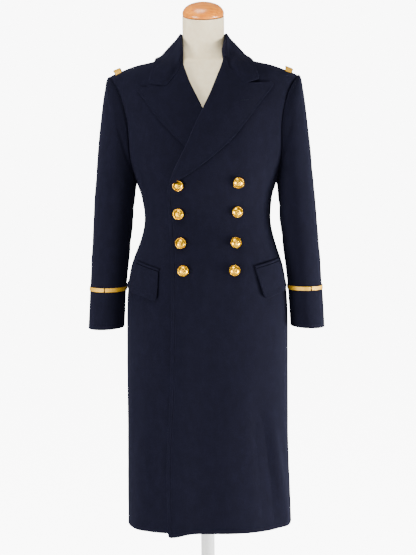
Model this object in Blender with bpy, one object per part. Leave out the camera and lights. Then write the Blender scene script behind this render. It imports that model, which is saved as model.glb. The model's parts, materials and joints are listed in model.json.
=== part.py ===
"""Double-breasted greatcoat worn by a limbless dress form on a pole stand.

Frame: metres, +Z up, the coat's front faces -Y, +X is the viewer's right.
The origin is on the floor under the pole, at the middle of the base.

The coat is made of cloth walls. One table of horizontal sections gives the
outside of the body at each height. Panels, lapels, collar, flaps and the
dress form are all read from it and moved in or out along its normal.
"""
import math

import bmesh
import bpy
from mathutils import Matrix, Vector

# ---- driving sizes -------------------------------------------------------

CLOTH = 0.003            # melton wall, two layers of fabric pressed together
SEAM_GAP = 0.0003        # room between two sewn pieces
LAY_GAP = 0.0006         # room under a piece that lies on a curved panel

HEM_HEIGHT = 0.270       # floor to hem at the side seam
ARMPIT_HEIGHT = 1.062    # lowest point of the armhole
SHOULDER_HEIGHT = 1.306  # outer end of the shoulder seam
NECK_HEIGHT = 1.357      # inner end of the shoulder seam, beside the neck
CROWN_HEIGHT = 1.367     # where the sections close over the neck
ARMHOLE_FRONT = 0.066    # how far the armhole reaches forward of the side seam
ARMHOLE_BACK = 0.072
NECK_POINT = 0.066       # shoulder seam's inner end, from the middle
NECK_BACK = 0.060        # back neckline, behind the side seams' plane

# Horizontal sections of the coat's outside. half_width is at the side seam,
# the depths run from the side seams' plane to the front and the back,
# squareness is the exponent of the superellipse, and shift moves it sideways.
BODY_COLUMNS = ("height", "half_width", "front", "back", "squareness", "shift")
BODY_SECTIONS = (
    (0.260, 0.1858, 0.1510, 0.1500, 3.30, 0.0018),
    (0.400, 0.1862, 0.1475, 0.1490, 3.05, 0.0022),
    (0.550, 0.1880, 0.1410, 0.1470, 2.85, 0.0028),
    (0.700, 0.1884, 0.1350, 0.1435, 2.70, 0.0032),
    (0.800, 0.1868, 0.1300, 0.1390, 2.60, 0.0036),
    (0.849, 0.1808, 0.1270, 0.1350, 2.50, 0.0038),
    (0.877, 0.1743, 0.1245, 0.1300, 2.45, 0.0041),
    (0.905, 0.1642, 0.1195, 0.1220, 2.40, 0.0046),
    (0.933, 0.1545, 0.1145, 0.1130, 2.35, 0.0054),
    (0.961, 0.1480, 0.1115, 0.1050, 2.30, 0.0058),
    (0.988, 0.1466, 0.1106, 0.1010, 2.30, 0.0057),
    (1.016, 0.1493, 0.1124, 0.1020, 2.30, 0.0054),
    (1.044, 0.1554, 0.1170, 0.1060, 2.30, 0.0048),
    (1.075, 0.1670, 0.1235, 0.1110, 2.30, 0.0040),
    (1.120, 0.1845, 0.1285, 0.1170, 2.30, 0.0030),
    (1.165, 0.1945, 0.1275, 0.1205, 2.20, 0.0018),
    (1.210, 0.2015, 0.1200, 0.1205, 2.20, 0.0008),
    (1.250, 0.2120, 0.1100, 0.1165, 2.10, 0.0),
    (1.280, 0.2175, 0.0985, 0.1095, 2.00, 0.0),
    (1.306, 0.2155, 0.0860, 0.0990, 2.00, 0.0),
    (1.3175, 0.1920, 0.0790, 0.0920, 2.00, 0.0),
    (1.3310, 0.1560, 0.0695, 0.0840, 2.00, 0.0),
    (1.3405, 0.1140, 0.0620, 0.0760, 2.00, 0.0),
    (1.357, 0.0660, 0.0500, 0.0590, 2.00, 0.0),
    (1.367, 0.0300, 0.0350, 0.0400, 2.00, 0.0),
)

# Soft folds in the hanging cloth. bearing is degrees round from the front
# towards +X, at the fold's top and foot; depth is outward at the foot.
# Columns: top, foot, bearing_top, bearing_foot, width, depth.
FOLDS = (
    (0.700, HEM_HEIGHT, 58.0, 73.0, 12.0, 0.0085),
    (0.760, HEM_HEIGHT, -64.0, -70.0, 13.0, 0.0045),
    (0.820, HEM_HEIGHT, 126.0, 130.0, 13.0, 0.0070),
    (0.800, HEM_HEIGHT, 152.0, 156.0, 11.0, 0.0050),
    (0.830, HEM_HEIGHT, -128.0, -133.0, 13.0, 0.0075),
    (0.790, HEM_HEIGHT, -155.0, -158.0, 11.0, 0.0045),
)

# Row heights of the body panels from the hem to the armpit.
LOWER_ROWS = (HEM_HEIGHT, 0.330, 0.410, 0.490, 0.570, 0.650, 0.725, 0.785,
              0.835, 0.872, 0.905, 0.935, 0.962, 0.988, 1.014, 1.038,
              ARMPIT_HEIGHT)
UPPER_ROWS = 11          # rows from the armpit to the shoulder seam
PATH_SAMPLES = 60        # samples along a row before its points are spaced evenly
OVER_COLS = 18
UNDER_COLS = 16
BACK_COLS = 9
FRONT_CORNER_DROP = 0.010   # the over front's corner hangs this much lower
FRONT_CORNER_X = -0.087
FRONT_CORNER_SPAN = 0.060   # and the drop is gone this far along the hem
BACK_EDGE = ((HEM_HEIGHT, SEAM_GAP / 2), (1.400, SEAM_GAP / 2))

# Front edges as (height, x) from the hem up: edge, break, roll line, gorge
# and neckline. The over front is the wearer's left and laps to -X.
OVER_EDGE = (
    (0.250, -0.0900), (0.417, -0.0908), (0.577, -0.0822), (0.820, -0.0765),
    (0.903, -0.0768), (0.980, -0.0803), (1.040, -0.0822), (1.058, -0.0790),
    (1.069, -0.0724), (1.149, -0.0370), (1.229, -0.0033), (1.277, 0.0150),
    (1.304, 0.0267), (1.332, 0.0360), (1.349, 0.0413), (NECK_HEIGHT, NECK_POINT),
)
UNDER_EDGE = (
    (0.250, -0.0760), (0.577, -0.0740), (0.980, -0.0730), (1.040, -0.0700),
    (1.067, -0.0584), (1.148, -0.0270), (1.229, 0.0033), (1.277, 0.0234),
    (1.304, 0.0346), (1.336, 0.0487), (NECK_HEIGHT, NECK_POINT),
)

# How far the over front is lifted by what lies under it, by height.
# Columns: height, lift.
LAP_LIFT = (
    (0.260, 0.0036), (0.985, 0.0036), (1.050, 0.0082), (1.150, 0.0088),
    (1.225, 0.0084), (1.310, 0.0),
)
LAP_FULL = 0.080         # the lift is whole up to this x
LAP_END = 0.150          # and gone at this x

# Lapels: outer edge on the side the lapel lies on, from the peak's tip to the
# break. Columns: along, x, height.
OVER_LAPEL_EDGE = (
    (0.00, 0.1510, 1.2840), (0.10, 0.1390, 1.2640), (0.30, 0.1000, 1.2080),
    (0.55, 0.0530, 1.1520), (0.80, -0.0110, 1.1000), (0.93, -0.0515, 1.0740),
    (1.00, -0.0695, 1.0630),
)
UNDER_LAPEL_EDGE = (
    (0.00, 0.1475, 1.2725), (0.10, 0.1375, 1.2560), (0.30, 0.1040, 1.2080),
    (0.55, 0.0500, 1.1510), (0.80, -0.0080, 1.1000), (0.93, -0.0420, 1.0750),
    (1.00, -0.0540, 1.0640),
)
OVER_NOTCH = (0.0930, 1.2860)
UNDER_NOTCH = (0.0905, 1.2815)
OVER_GORGE = (0.0413, 1.3490)
UNDER_GORGE = (0.0487, 1.3360)
LAPEL_GAP = 0.0012
LAPEL_FOOT = 1.062
LAPEL_ROLL = 0.0014      # soft crown of the lapel between roll line and edge
LAPEL_CROWN_END = 0.50   # none below here, where the fronts lap
BREAK_PUFF = 0.0088      # the over lapel rises over the top button
BREAK_PUFF_START = 0.66
LAPEL_ROWS = 14
LAPEL_COLS = 8
NOTCH_AT = 0.5           # the notch, as a share of the top edge
LAPEL_NOTCH_FADE = 1.6   # how fast the notch dies away down the lapel
COLLAR_NOTCH_FADE = 1.5  # and round the collar

# Collar leaf: ribs from the front end round to the middle of the back.
COLLAR_GAP = 0.0018
COLLAR_TOP = 1.4030      # fold line beside the neck
COLLAR_TOP_BACK = 1.4070
COLLAR_FOLD = 0.0517     # fold line's outside, from the middle, beside the neck
COLLAR_FOLD_BACK = 0.0650
COLLAR_REACH = 0.1095    # leaf's edge beside the neck, where it meets the shoulder
COLLAR_REACH_BACK = 0.1060
COLLAR_BACK_EDGE = 1.3140
OVER_COLLAR_CORNER = (0.1275, 1.2985)
UNDER_COLLAR_CORNER = (0.1310, 1.2870)
COLLAR_RIBS = 11         # ribs a side
COLLAR_SIDE_RIB = 5      # the rib beside the neck
COLLAR_COLS = 6
COLLAR_END_GAP = 0.0015  # room between the collar's front ends and the lapels
WITHIN_LEAF = Vector((0.0, 0.0, 1.20))   # a point inside the collar's round

# Collar stand: the band round the neck, under the leaf's fold.
STAND_ROWS = 3
STAND_FIRST_RIB = 2
STAND_FOOT_GAP = 0.0008
STAND_TOP_ROOM = 0.0100  # it ends this far under the fold
STAND_FRONT_ROOM = 0.0020   # and this much lower again at the front
STAND_INSET = 0.0020     # where it also leans in towards the neck

# Sleeve rings from the armhole to the cuff: inner and outer edge as x and
# height, half depths to the front and back, and how far the ring sits forward.
# Columns: inner_x, inner_z, outer_x, outer_z, front, back, forward.
SLEEVE_RINGS = (
    (0.1622, 1.0580, 0.2240, 1.3020, 0.0675, 0.0725, 0.000),
    (0.1632, 1.0530, 0.2272, 1.2850, 0.0690, 0.0720, 0.000),
    (0.1642, 1.0460, 0.2310, 1.2620, 0.0700, 0.0710, 0.000),
    (0.1652, 1.0360, 0.2365, 1.2210, 0.0705, 0.0700, 0.000),
    (0.1665, 1.0220, 0.2420, 1.1720, 0.0700, 0.0690, 0.001),
    (0.1682, 1.0020, 0.2476, 1.1180, 0.0690, 0.0675, 0.002),
    (0.1705, 0.9750, 0.2520, 1.0600, 0.0675, 0.0655, 0.004),
    (0.1740, 0.9380, 0.2565, 0.9980, 0.0650, 0.0630, 0.006),
    (0.1783, 0.8950, 0.2606, 0.9300, 0.0620, 0.0600, 0.009),
    (0.1825, 0.8550, 0.2644, 0.8680, 0.0590, 0.0575, 0.012),
    (0.1858, 0.8230, 0.2668, 0.8230, 0.0570, 0.0560, 0.014),
    (0.1866, 0.8140, 0.2675, 0.8140, 0.0566, 0.0556, 0.0145),
    (0.1895, 0.7690, 0.2704, 0.7690, 0.0553, 0.0545, 0.017),
    (0.1922, 0.7280, 0.2727, 0.7255, 0.0545, 0.0538, 0.019),
)
BRAID_RINGS = (10, 11)   # the lace lies between these two rings
# Side, how much fuller it hangs, and how far its cuff swings out.
SLEEVE_SIDES = (("right", -1, 0.045, 0.0), ("left", 1, -0.010, 0.0050))
SWING_TOP = 1.12
SWING_WHOLE = 0.85

SLEEVE_FULL_BY = 0.40    # share of the sleeve's length where it is fullest
SLEEVE_SHIFT_BY = 0.60   # and where the body's sideways shift has died away
ARMHOLE_GAP = 0.00048    # the sleeve head starts this far out from the panels

BRAID_THICK = 0.0012
BRAID_GAP_RING = 9       # the lace's ends nearly meet over this ring point
BRAID_END_SHARE = 0.09   # each end stops short by this share of a ring step

# Pocket flaps: corners as x and height on the body, with how far each corner
# stands off the panel. Order: top front, top rear, foot rear, foot front.
FLAP_COLUMNS = ("x", "height", "stand_off")
FLAPS = (
    ("flap_right", -1, ((0.1045, 0.8635, 0.0008), (0.1570, 0.8790, 0.0008),
                        (0.1752, 0.8205, 0.0080), (0.1085, 0.7960, 0.0028))),
    ("flap_left", 1, ((0.1110, 0.8680, 0.0008), (0.1690, 0.8815, 0.0008),
                      (0.1812, 0.8175, 0.0050), (0.1320, 0.7985, 0.0028))),
)
FLAP_COLS = 6
FLAP_ROWS = 4
FLAP_THICK = 0.0032
FLAP_CORNER_FROM = 0.36  # the foot's corners start this far from its middle
FLAP_CORNER_LIFT = 0.10  # and are lifted by this share of the flap's height
WELT_WIDTH = 0.0060
WELT_ROWS = 2
WELT_CROWN = 0.0008
WELT_THICK = 0.0030
WELT_GAP = 0.0010

# Buttons: x and height of each centre, on the over front.
BUTTON_RADIUS = 0.0124
BUTTON_SEAT = 0.0007     # room between the shank and the curved panel
BUTTON_CROWN = 0.0092    # top of the dome over the shank's foot
# Columns: radius, height. Shank, back face, rim, groove inside it, dome.
BUTTON_PROFILE = ((0.0030, 0.0), (0.0030, 0.0022), (0.0118, 0.0022),
                  (BUTTON_RADIUS, 0.0038), (0.0116, 0.0048), (0.0102, 0.0044),
                  (0.0068, 0.0078))
BUTTONS = (
    ("button_1", -0.0570, 1.0600), ("button_2", -0.0575, 0.9935),
    ("button_3", -0.0538, 0.9267), ("button_4", -0.0490, 0.8665),
    ("button_5", 0.0728, 1.0650), ("button_6", 0.0710, 0.9973),
    ("button_7", 0.0675, 0.9272), ("button_8", 0.0645, 0.8661),
)
BUTTON_SIDES = 16

# Small lace loops across the shoulder seam near the sleeve.
LOOP_MIDDLE = 0.1965
LOOP_WIDTH = 0.0165
LOOP_REACH = 0.0260      # length of the loop each way from the ridge
LOOP_RISE = 0.0050
LOOP_SEAT = -0.0008      # the panels' flat facets lie inside the true curve
LOOP_THICK = 0.0016
LOOP_COLS = 8

# Dress form.
FORM_BOTTOM = 0.800
FORM_BOTTOM_SHARE = 0.90   # the flat bottom is this much smaller all round
FORM_ROOM = 0.0045       # room between the coat and the form
FORM_SHOULDER_ROOM = 0.0031
FORM_SHOULDER_FROM = 1.240   # the room changes over this span
FORM_SHOULDER_SPAN = 0.060
FORM_ROWS = (0.818, 0.860, 0.900, 0.940, 0.980, 1.020, 1.065, 1.110, 1.160,
             1.210, 1.255, 1.283, 1.300, 1.312, 1.323, 1.333, 1.342)
FORM_SIDES = 28
# The form's flat shoulder ends, as (height, x).
FORM_ARM_PLATE = ((1.000, 0.200), (1.062, 0.152), (1.120, 0.156),
                  (1.210, 0.166), (1.270, 0.186), (1.308, 0.206), (1.360, 0.206))
# Neck above the shoulders. Columns: height, half_width, front, back, middle.
NECK_SECTIONS = (
    (1.3530, 0.0610, 0.0470, 0.0490, 0.0030),
    (1.3630, 0.0530, 0.0470, 0.0480, 0.0030),
    (1.3740, 0.0486, 0.0472, 0.0476, 0.0025),
    (1.3880, 0.0476, 0.0475, 0.0475, 0.0005),
    (1.4120, 0.0480, 0.0478, 0.0478, -0.0030),
)
NECK_TOP = 1.4420
NECK_TOP_MIDDLE = -0.0070
NECK_TILT = math.radians(17.8)
CAP_RADIUS = 0.0478
CAP_PROFILE = ((0.0440, 0.0003), (0.0470, 0.0020), (0.0478, 0.0060),
               (0.0466, 0.0112), (0.0412, 0.0190), (0.0300, 0.0257),
               (0.0155, 0.0298))
CAP_CROWN = 0.0314

POLE_RADIUS = 0.0160
BASE_TOP = 0.0300        # top of the boss the pole stands in
# Columns: radius, height. Foot, rolled edge, plate, boss.
BASE_PROFILE = ((0.1730, 0.0), (0.1750, 0.0020), (0.1750, 0.0110),
                (0.1720, 0.0140), (0.0300, 0.0160), (0.0280, BASE_TOP))
ROUND_SIDES = 32
SHARP_ANGLE = math.radians(38)

STEP = 0.0001            # step of the numeric normal


# ---- tables --------------------------------------------------------------

def smooth_table(rows, column, at):
    """Read a column at a height: a cubic that never overshoots its rows."""
    if at <= rows[0][0]:
        return rows[0][column]
    if at >= rows[-1][0]:
        return rows[-1][column]
    index = 0
    while rows[index + 1][0] < at:
        index += 1

    def slope(left):
        return ((rows[left + 1][column] - rows[left][column])
                / (rows[left + 1][0] - rows[left][0]))

    def tangent(row):
        if row == 0:
            return slope(0)
        if row == len(rows) - 1:
            return slope(row - 1)
        before = slope(row - 1)
        after = slope(row)
        if before * after <= 0.0:
            return 0.0
        return 2.0 * before * after / (before + after)

    span = rows[index + 1][0] - rows[index][0]
    t = (at - rows[index][0]) / span
    start = rows[index][column]
    end = rows[index + 1][column]
    return (start * (1 + 2 * t) * (1 - t) ** 2
            + end * t * t * (3 - 2 * t)
            + tangent(index) * span * t * (1 - t) ** 2
            - tangent(index + 1) * span * t * t * (1 - t))


def ease(t):
    """Zero to one with level ends."""
    t = min(1.0, max(0.0, t))
    return t * t * (3 - 2 * t)


def section(height):
    """The body's section at a height, as half width, front, back, exponent, shift."""
    return [smooth_table(BODY_SECTIONS, column, height)
            for column in range(1, len(BODY_COLUMNS))]


# ---- the body's surface --------------------------------------------------

def depth_at(x, height, back):
    """How far the body reaches forward (or back) at x and height."""
    half_width, front, rear, power, shift = section(height)
    reach = rear if back else front
    share = min(1.0, abs(x - shift) / half_width)
    return reach * (1.0 - share ** power) ** (1.0 / power)


def outside(point):
    """Zero on the body's surface, positive outside it."""
    half_width, front, rear, power, shift = section(point.z)
    reach = rear if point.y > 0 else front
    return ((abs(point.x - shift) / half_width) ** power
            + (abs(point.y) / reach) ** power) ** (1.0 / power) - 1.0


def slope_of(point):
    """Gradient of the surface function."""
    parts = []
    for axis in ((STEP, 0, 0), (0, STEP, 0), (0, 0, STEP)):
        move = Vector(axis)
        parts.append((outside(point + move) - outside(point - move)) / (2 * STEP))
    return Vector(parts)


def normal_at(point):
    return slope_of(point).normalized()


def fold_height(point):
    """Outward rise of the soft folds at a point of the body."""
    bearing = math.degrees(math.atan2(point.x, -point.y))
    rise = 0.0
    for top, foot, start, end, width, depth in FOLDS:
        along = (top - point.z) / (top - foot)
        if along <= 0.0:
            continue
        middle = start + (end - start) * min(1.0, along)
        away = (bearing - middle) / width
        rise += depth * ease(along) * math.exp(-away * away)
    return rise


def lap_lift(x, height):
    """How far the over front stands out over the under front and its lapel."""
    fade = 1.0 - ease((x - LAP_FULL) / (LAP_END - LAP_FULL))
    return smooth_table(LAP_LIFT, 1, height) * fade


def moved(point, distance):
    """A point of the body's surface, moved out along its normal."""
    return point + normal_at(point) * (distance + fold_height(point))


def front_point(x, height, over, stand_off=0.0):
    """A point on the coat's front, seen at x and height, moved out."""
    base = Vector((x, -depth_at(x, height, False), height))
    lift = lap_lift(x, height) if over else 0.0
    return moved(base, lift + stand_off)


def ridge(x):
    """Height of the shoulder seam at x, level across the neck."""
    x = abs(x)
    if x < NECK_POINT:
        return NECK_HEIGHT + 0.010 * (1 - (x / NECK_POINT) ** 2)
    low, high = SHOULDER_HEIGHT, CROWN_HEIGHT
    for _ in range(30):
        middle = 0.5 * (low + high)
        if section(middle)[0] > x:
            low = middle
        else:
            high = middle
    return 0.5 * (low + high)


def back_neckline(x):
    """Height of the back neckline at x."""
    across = min(1.0, abs(x) / NECK_POINT)
    reach = NECK_BACK * math.sqrt(1.0 - across * across)
    low, high = 1.300, CROWN_HEIGHT - STEP
    for _ in range(30):
        middle = 0.5 * (low + high)
        if depth_at(abs(x), middle, True) > reach:
            low = middle
        else:
            high = middle
    return 0.5 * (low + high)


def armhole(side, row, back):
    """Point of the armhole seam on one of the upper rows."""
    turn = math.pi * row / UPPER_ROWS
    height = (ARMPIT_HEIGHT
              + (SHOULDER_HEIGHT - ARMPIT_HEIGHT) * 0.5 * (1 - math.cos(turn)))
    half_width, front, rear, power, shift = section(height)
    reach = (ARMHOLE_BACK if back else ARMHOLE_FRONT) * math.sin(turn)
    share = (1.0 - (reach / (rear if back else front)) ** power) ** (1.0 / power)
    return Vector((shift + side * half_width * share,
                   reach if back else -reach, height))


# ---- solids from grids ---------------------------------------------------

def material(name, colour, roughness, metallic=0.0):
    made = bpy.data.materials.new(name)
    made.use_nodes = True
    shader = made.node_tree.nodes["Principled BSDF"]
    shader.inputs["Base Color"].default_value = (*colour, 1.0)
    shader.inputs["Roughness"].default_value = roughness
    shader.inputs["Metallic"].default_value = metallic
    made.diffuse_color = (*colour, 1.0)
    return made


def add_object(name, bm, look):
    """Close a bmesh into a named object with its faces pointing out."""
    bmesh.ops.recalc_face_normals(bm, faces=bm.faces)
    mesh = bpy.data.meshes.new(name)
    bm.to_mesh(mesh)
    bm.free()
    mesh.shade_smooth()
    mesh.set_sharp_from_angle(angle=SHARP_ANGLE)
    made = bpy.data.objects.new(name, mesh)
    made.data.materials.append(look)
    bpy.context.scene.collection.objects.link(made)
    return made


def wall(name, outer, inner, look, around=False):
    """A closed wall between two grids of points; around joins first to last."""
    bm = bmesh.new()
    rows, cols = len(outer), len(outer[0])
    out = [[bm.verts.new(p) for p in row] for row in outer]
    ins = [[bm.verts.new(p) for p in row] for row in inner]
    spans = cols if around else cols - 1
    for j in range(rows - 1):
        for i in range(spans):
            k = (i + 1) % cols
            bm.faces.new((out[j][i], out[j][k], out[j + 1][k], out[j + 1][i]))
            bm.faces.new((ins[j][i], ins[j + 1][i], ins[j + 1][k], ins[j][k]))
    for i in range(spans):
        k = (i + 1) % cols
        bm.faces.new((out[0][k], out[0][i], ins[0][i], ins[0][k]))
        bm.faces.new((out[-1][i], out[-1][k], ins[-1][k], ins[-1][i]))
    if not around:
        for j in range(rows - 1):
            bm.faces.new((out[j][0], out[j + 1][0], ins[j + 1][0], ins[j][0]))
            bm.faces.new((out[j + 1][-1], out[j][-1], ins[j][-1], ins[j + 1][-1]))
    return add_object(name, bm, look)


def stacked_rings(name, rings, look, crown=None):
    """A solid from closed rings, flat at its first ring, flat or crowned on top."""
    bm = bmesh.new()
    made = [[bm.verts.new(p) for p in ring] for ring in rings]
    count = len(rings[0])
    for low, high in zip(made, made[1:]):
        for i in range(count):
            k = (i + 1) % count
            bm.faces.new((low[i], low[k], high[k], high[i]))
    bm.faces.new(list(reversed(made[0])))
    if crown is None:
        bm.faces.new(made[-1])
    else:
        tip = bm.verts.new(crown)
        for i in range(count):
            bm.faces.new((made[-1][i], made[-1][(i + 1) % count], tip))
    return add_object(name, bm, look)


def turned(profile, sides, place=None):
    """Rings of a turned profile of (radius, height), carried to their place."""
    place = place or Matrix.Identity(4)
    rings = []
    for radius, height in profile:
        ring = []
        for i in range(sides):
            turn = 2 * math.pi * i / sides
            spot = Vector((radius * math.cos(turn), radius * math.sin(turn), height))
            ring.append(place @ spot)
        rings.append(ring)
    return rings


def even_points(path, count):
    """Points evenly spaced along a dense path."""
    lengths = [0.0]
    for a, b in zip(path, path[1:]):
        lengths.append(lengths[-1] + (b - a).length)
    picked = []
    index = 0
    for i in range(count):
        want = lengths[-1] * i / (count - 1)
        while index < len(path) - 2 and lengths[index + 1] < want:
            index += 1
        span = lengths[index + 1] - lengths[index]
        share = (want - lengths[index]) / span if span else 0.0
        picked.append(path[index].lerp(path[index + 1], min(1.0, share)))
    return picked


# ---- body panels ---------------------------------------------------------

def hem_drop(x, over):
    """The front corner of the over front hangs a little lower."""
    if not over:
        return 0.0
    along = (x - FRONT_CORNER_X) / FRONT_CORNER_SPAN
    return FRONT_CORNER_DROP * (1.0 - ease(along))


def panel(name, side, back, edge, over, cols, look):
    """One body panel from its front edge (or the middle of the back) to the side.

    side is -1 or +1, and edge gives the inner edge's x at each height for a
    panel on the +X side; the other side mirrors it.
    """
    def edge_x(height):
        return side * smooth_table(edge, 1, height)

    outer = []
    for level in range(len(LOWER_ROWS) + UPPER_ROWS):
        row = level - (len(LOWER_ROWS) - 1)
        if row <= 0:
            height = LOWER_ROWS[level]
            half_width, _, _, _, shift = section(height)
            end = Vector((shift + side * half_width, 0, height))
            start_x = edge_x(height)

            def height_at(x, height=height):
                return height
        else:
            share = 0.5 * (1 - math.cos(math.pi * row / UPPER_ROWS))
            top_line = back_top if back else ridge
            end = armhole(side, row, back)
            start_x = edge_x(ARMPIT_HEIGHT)
            for _ in range(12):
                level_z = ARMPIT_HEIGHT + (top_line(start_x) - ARMPIT_HEIGHT) * share
                start_x = edge_x(level_z)
            rise = end.z - (ARMPIT_HEIGHT
                            + (top_line(end.x) - ARMPIT_HEIGHT) * share)

            def height_at(x, share=share, start=start_x, stop=end.x, rise=rise,
                          line=top_line):
                across = (x - start) / (stop - start)
                return (ARMPIT_HEIGHT + (line(x) - ARMPIT_HEIGHT) * share
                        + rise * across * across)
        path = []
        for i in range(PATH_SAMPLES + 1):
            across = math.sin(0.5 * math.pi * i / PATH_SAMPLES)
            x = start_x + (end.x - start_x) * across
            z = height_at(x)
            depth = depth_at(x, z, back)
            if i == PATH_SAMPLES:
                depth = abs(end.y)
            path.append(Vector((x, depth if back else -depth, z)))
        outer.append(even_points(path, cols + 1))

    outer_wall = []
    inner_wall = []
    for level, row in enumerate(outer):
        outer_row = []
        inner_row = []
        for point in row:
            lift = 0.0
            if over:
                lift = lap_lift(point.x, point.z)
            drop = 0.0
            if level == 0:
                drop = hem_drop(point.x, over)
            lowered = Vector((0, 0, -drop))
            outer_row.append(seam_side(moved(point, lift) + lowered, back))
            inner_row.append(seam_side(moved(point, lift - CLOTH) + lowered, back))
        outer_wall.append(outer_row)
        inner_wall.append(inner_row)
    return wall(name, outer_wall, inner_wall, look)


def back_top(x):
    """Top edge of the back: neckline in the middle, shoulder seam outside it."""
    if abs(x) < NECK_POINT:
        return back_neckline(x)
    return ridge(x)


def seam_side(point, back):
    """Keep a panel on its own side of the side and shoulder seams."""
    half = SEAM_GAP / 2
    y = max(point.y, half) if back else min(point.y, -half)
    return Vector((point.x, y, point.z))


# ---- lapels and collar ---------------------------------------------------

def lapel(name, side, over, edge, roll, gorge, notch, look):
    """A peak lapel: rows from gorge and peak down to the break."""
    roll_rows = [row for row in roll if LAPEL_FOOT < row[0] <= gorge[1] + 0.0001]
    low, high = roll_rows[0][0], gorge[1]
    tip = (edge[0][1], edge[0][2])
    outer = []
    inner = []
    for j in range(LAPEL_ROWS + 1):
        along = j / LAPEL_ROWS
        height = high + (low - high) * along
        roll_x = smooth_table(roll, 1, height)
        edge_x = smooth_table(edge, 1, along)
        edge_z = smooth_table(edge, 2, along)
        outer_row = []
        inner_row = []
        for i in range(LAPEL_COLS + 1):
            across = i / LAPEL_COLS
            x = roll_x + (edge_x - roll_x) * across
            z = height + (edge_z - height) * across
            bend_x, bend_z = notch_bend(across, gorge, notch, tip)
            hold = (1 - along) ** LAPEL_NOTCH_FADE
            x += bend_x * hold
            z += bend_z * hold
            crown = (LAPEL_ROLL * math.sin(math.pi * across)
                     * math.sin(math.pi * min(1.0, along / LAPEL_CROWN_END)))
            gap = LAPEL_GAP + crown
            if over:
                gap += BREAK_PUFF * ease((along - BREAK_PUFF_START)
                                         / (1 - BREAK_PUFF_START))
            outer_row.append(front_point(side * x, z, over, gap + CLOTH))
            inner_row.append(front_point(side * x, z, over, gap))
        outer.append(outer_row)
        inner.append(inner_row)
    return wall(name, outer, inner, look)


def notch_bend(across, gorge, notch, tip):
    """How far the top edge through the notch leaves the line gorge to tip."""
    if across <= NOTCH_AT:
        share = across / NOTCH_AT
        x = gorge[0] + (notch[0] - gorge[0]) * share
        z = gorge[1] + (notch[1] - gorge[1]) * share
    else:
        share = (across - NOTCH_AT) / (1 - NOTCH_AT)
        x = notch[0] + (tip[0] - notch[0]) * share
        z = notch[1] + (tip[1] - notch[1]) * share
    return (x - gorge[0] - (tip[0] - gorge[0]) * across,
            z - gorge[1] - (tip[1] - gorge[1]) * across)


def push_out(point, distance):
    """Move a point out of the body until it stands at least this far off."""
    for _ in range(5):
        gradient = slope_of(point)
        away = outside(point) / gradient.length
        if away >= distance:
            break
        point = point + gradient.normalized() * (distance - away)
    return point


def collar_rib(side, rib, gorge, notch, corner):
    """Outer points of one collar rib, from the fold line to the leaf's edge."""
    gorge_point = Vector((side * gorge[0],
                          -depth_at(gorge[0], gorge[1], False) - CLOTH, gorge[1]))
    corner_point = Vector((side * corner[0],
                           -depth_at(corner[0], corner[1], False), corner[1]))
    side_fold = Vector((side * COLLAR_FOLD, 0.0, COLLAR_TOP))
    side_edge = Vector((side * COLLAR_REACH, 0.0, ridge(COLLAR_REACH)))
    if rib <= COLLAR_SIDE_RIB:
        t = rib / COLLAR_SIDE_RIB
        fold = gorge_point.lerp(side_fold, t)
        fold.y = gorge_point.y * math.cos(0.5 * math.pi * t)
        edge = corner_point.lerp(side_edge, t)
        edge.y = corner_point.y * math.cos(0.5 * math.pi * t)
        hold = (1 - t) ** COLLAR_NOTCH_FADE
    else:
        t = (rib - COLLAR_SIDE_RIB) / (COLLAR_RIBS - COLLAR_SIDE_RIB)
        turn = 0.5 * math.pi * t
        fold = Vector((side * COLLAR_FOLD * math.cos(turn),
                       COLLAR_FOLD_BACK * math.sin(turn),
                       COLLAR_TOP + (COLLAR_TOP_BACK - COLLAR_TOP) * ease(t)))
        edge_z = ridge(COLLAR_REACH)
        edge = Vector((side * COLLAR_REACH * math.cos(turn),
                       COLLAR_REACH_BACK * math.sin(turn),
                       edge_z + (COLLAR_BACK_EDGE - edge_z) * ease(t)))
        hold = 0.0
    points = []
    for i in range(COLLAR_COLS + 1):
        across = i / COLLAR_COLS
        spot = fold.lerp(edge, across)
        bend_x, bend_z = notch_bend(across, gorge, notch, corner)
        spot.x += side * bend_x * hold
        spot.z += bend_z * hold
        if hold > 0.0:
            on_body = -depth_at(spot.x, spot.z, False)
            spot.y += (on_body - spot.y) * hold * across
        lift = lap_lift(side * abs(spot.x), spot.z) if side > 0 and spot.y < 0 else 0.0
        points.append(push_out(spot, COLLAR_GAP + CLOTH + lift))
    return points


def collar_sides():
    """Front end shapes of the collar on the under and the over side."""
    gap = COLLAR_END_GAP
    under = (-1, (UNDER_GORGE[0] - gap, UNDER_GORGE[1] + gap * 2),
             (UNDER_NOTCH[0] - gap, UNDER_NOTCH[1] + gap * 3), UNDER_COLLAR_CORNER)
    over = (1, (OVER_GORGE[0] - gap, OVER_GORGE[1] + gap * 2),
            (OVER_NOTCH[0] - gap, OVER_NOTCH[1] + gap * 3), OVER_COLLAR_CORNER)
    return under, over


def collar_ribs():
    """All ribs of the collar leaf, from one front end to the other."""
    under, over = collar_sides()
    ribs = [collar_rib(under[0], rib, *under[1:]) for rib in range(COLLAR_RIBS + 1)]
    ribs += [collar_rib(over[0], rib, *over[1:])
             for rib in range(COLLAR_RIBS - 1, -1, -1)]
    return ribs


def grid_normal(grid, j, i):
    """Normal of a grid of points at one of them."""
    up = grid[min(j + 1, len(grid) - 1)][i] - grid[max(j - 1, 0)][i]
    across = grid[j][min(i + 1, len(grid[0]) - 1)] - grid[j][max(i - 1, 0)]
    return up.cross(across).normalized()


def collar(look):
    """The leaf: it turns over at the top and falls to the shoulders."""
    outer = collar_ribs()
    inner = []
    for j, rib in enumerate(outer):
        row = []
        for i, point in enumerate(rib):
            normal = grid_normal(outer, j, i)
            if normal.dot(point - WITHIN_LEAF) < 0:
                normal = -normal
            row.append(point - normal * CLOTH)
        inner.append(row)
    return wall("collar", outer, inner, look)


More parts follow.
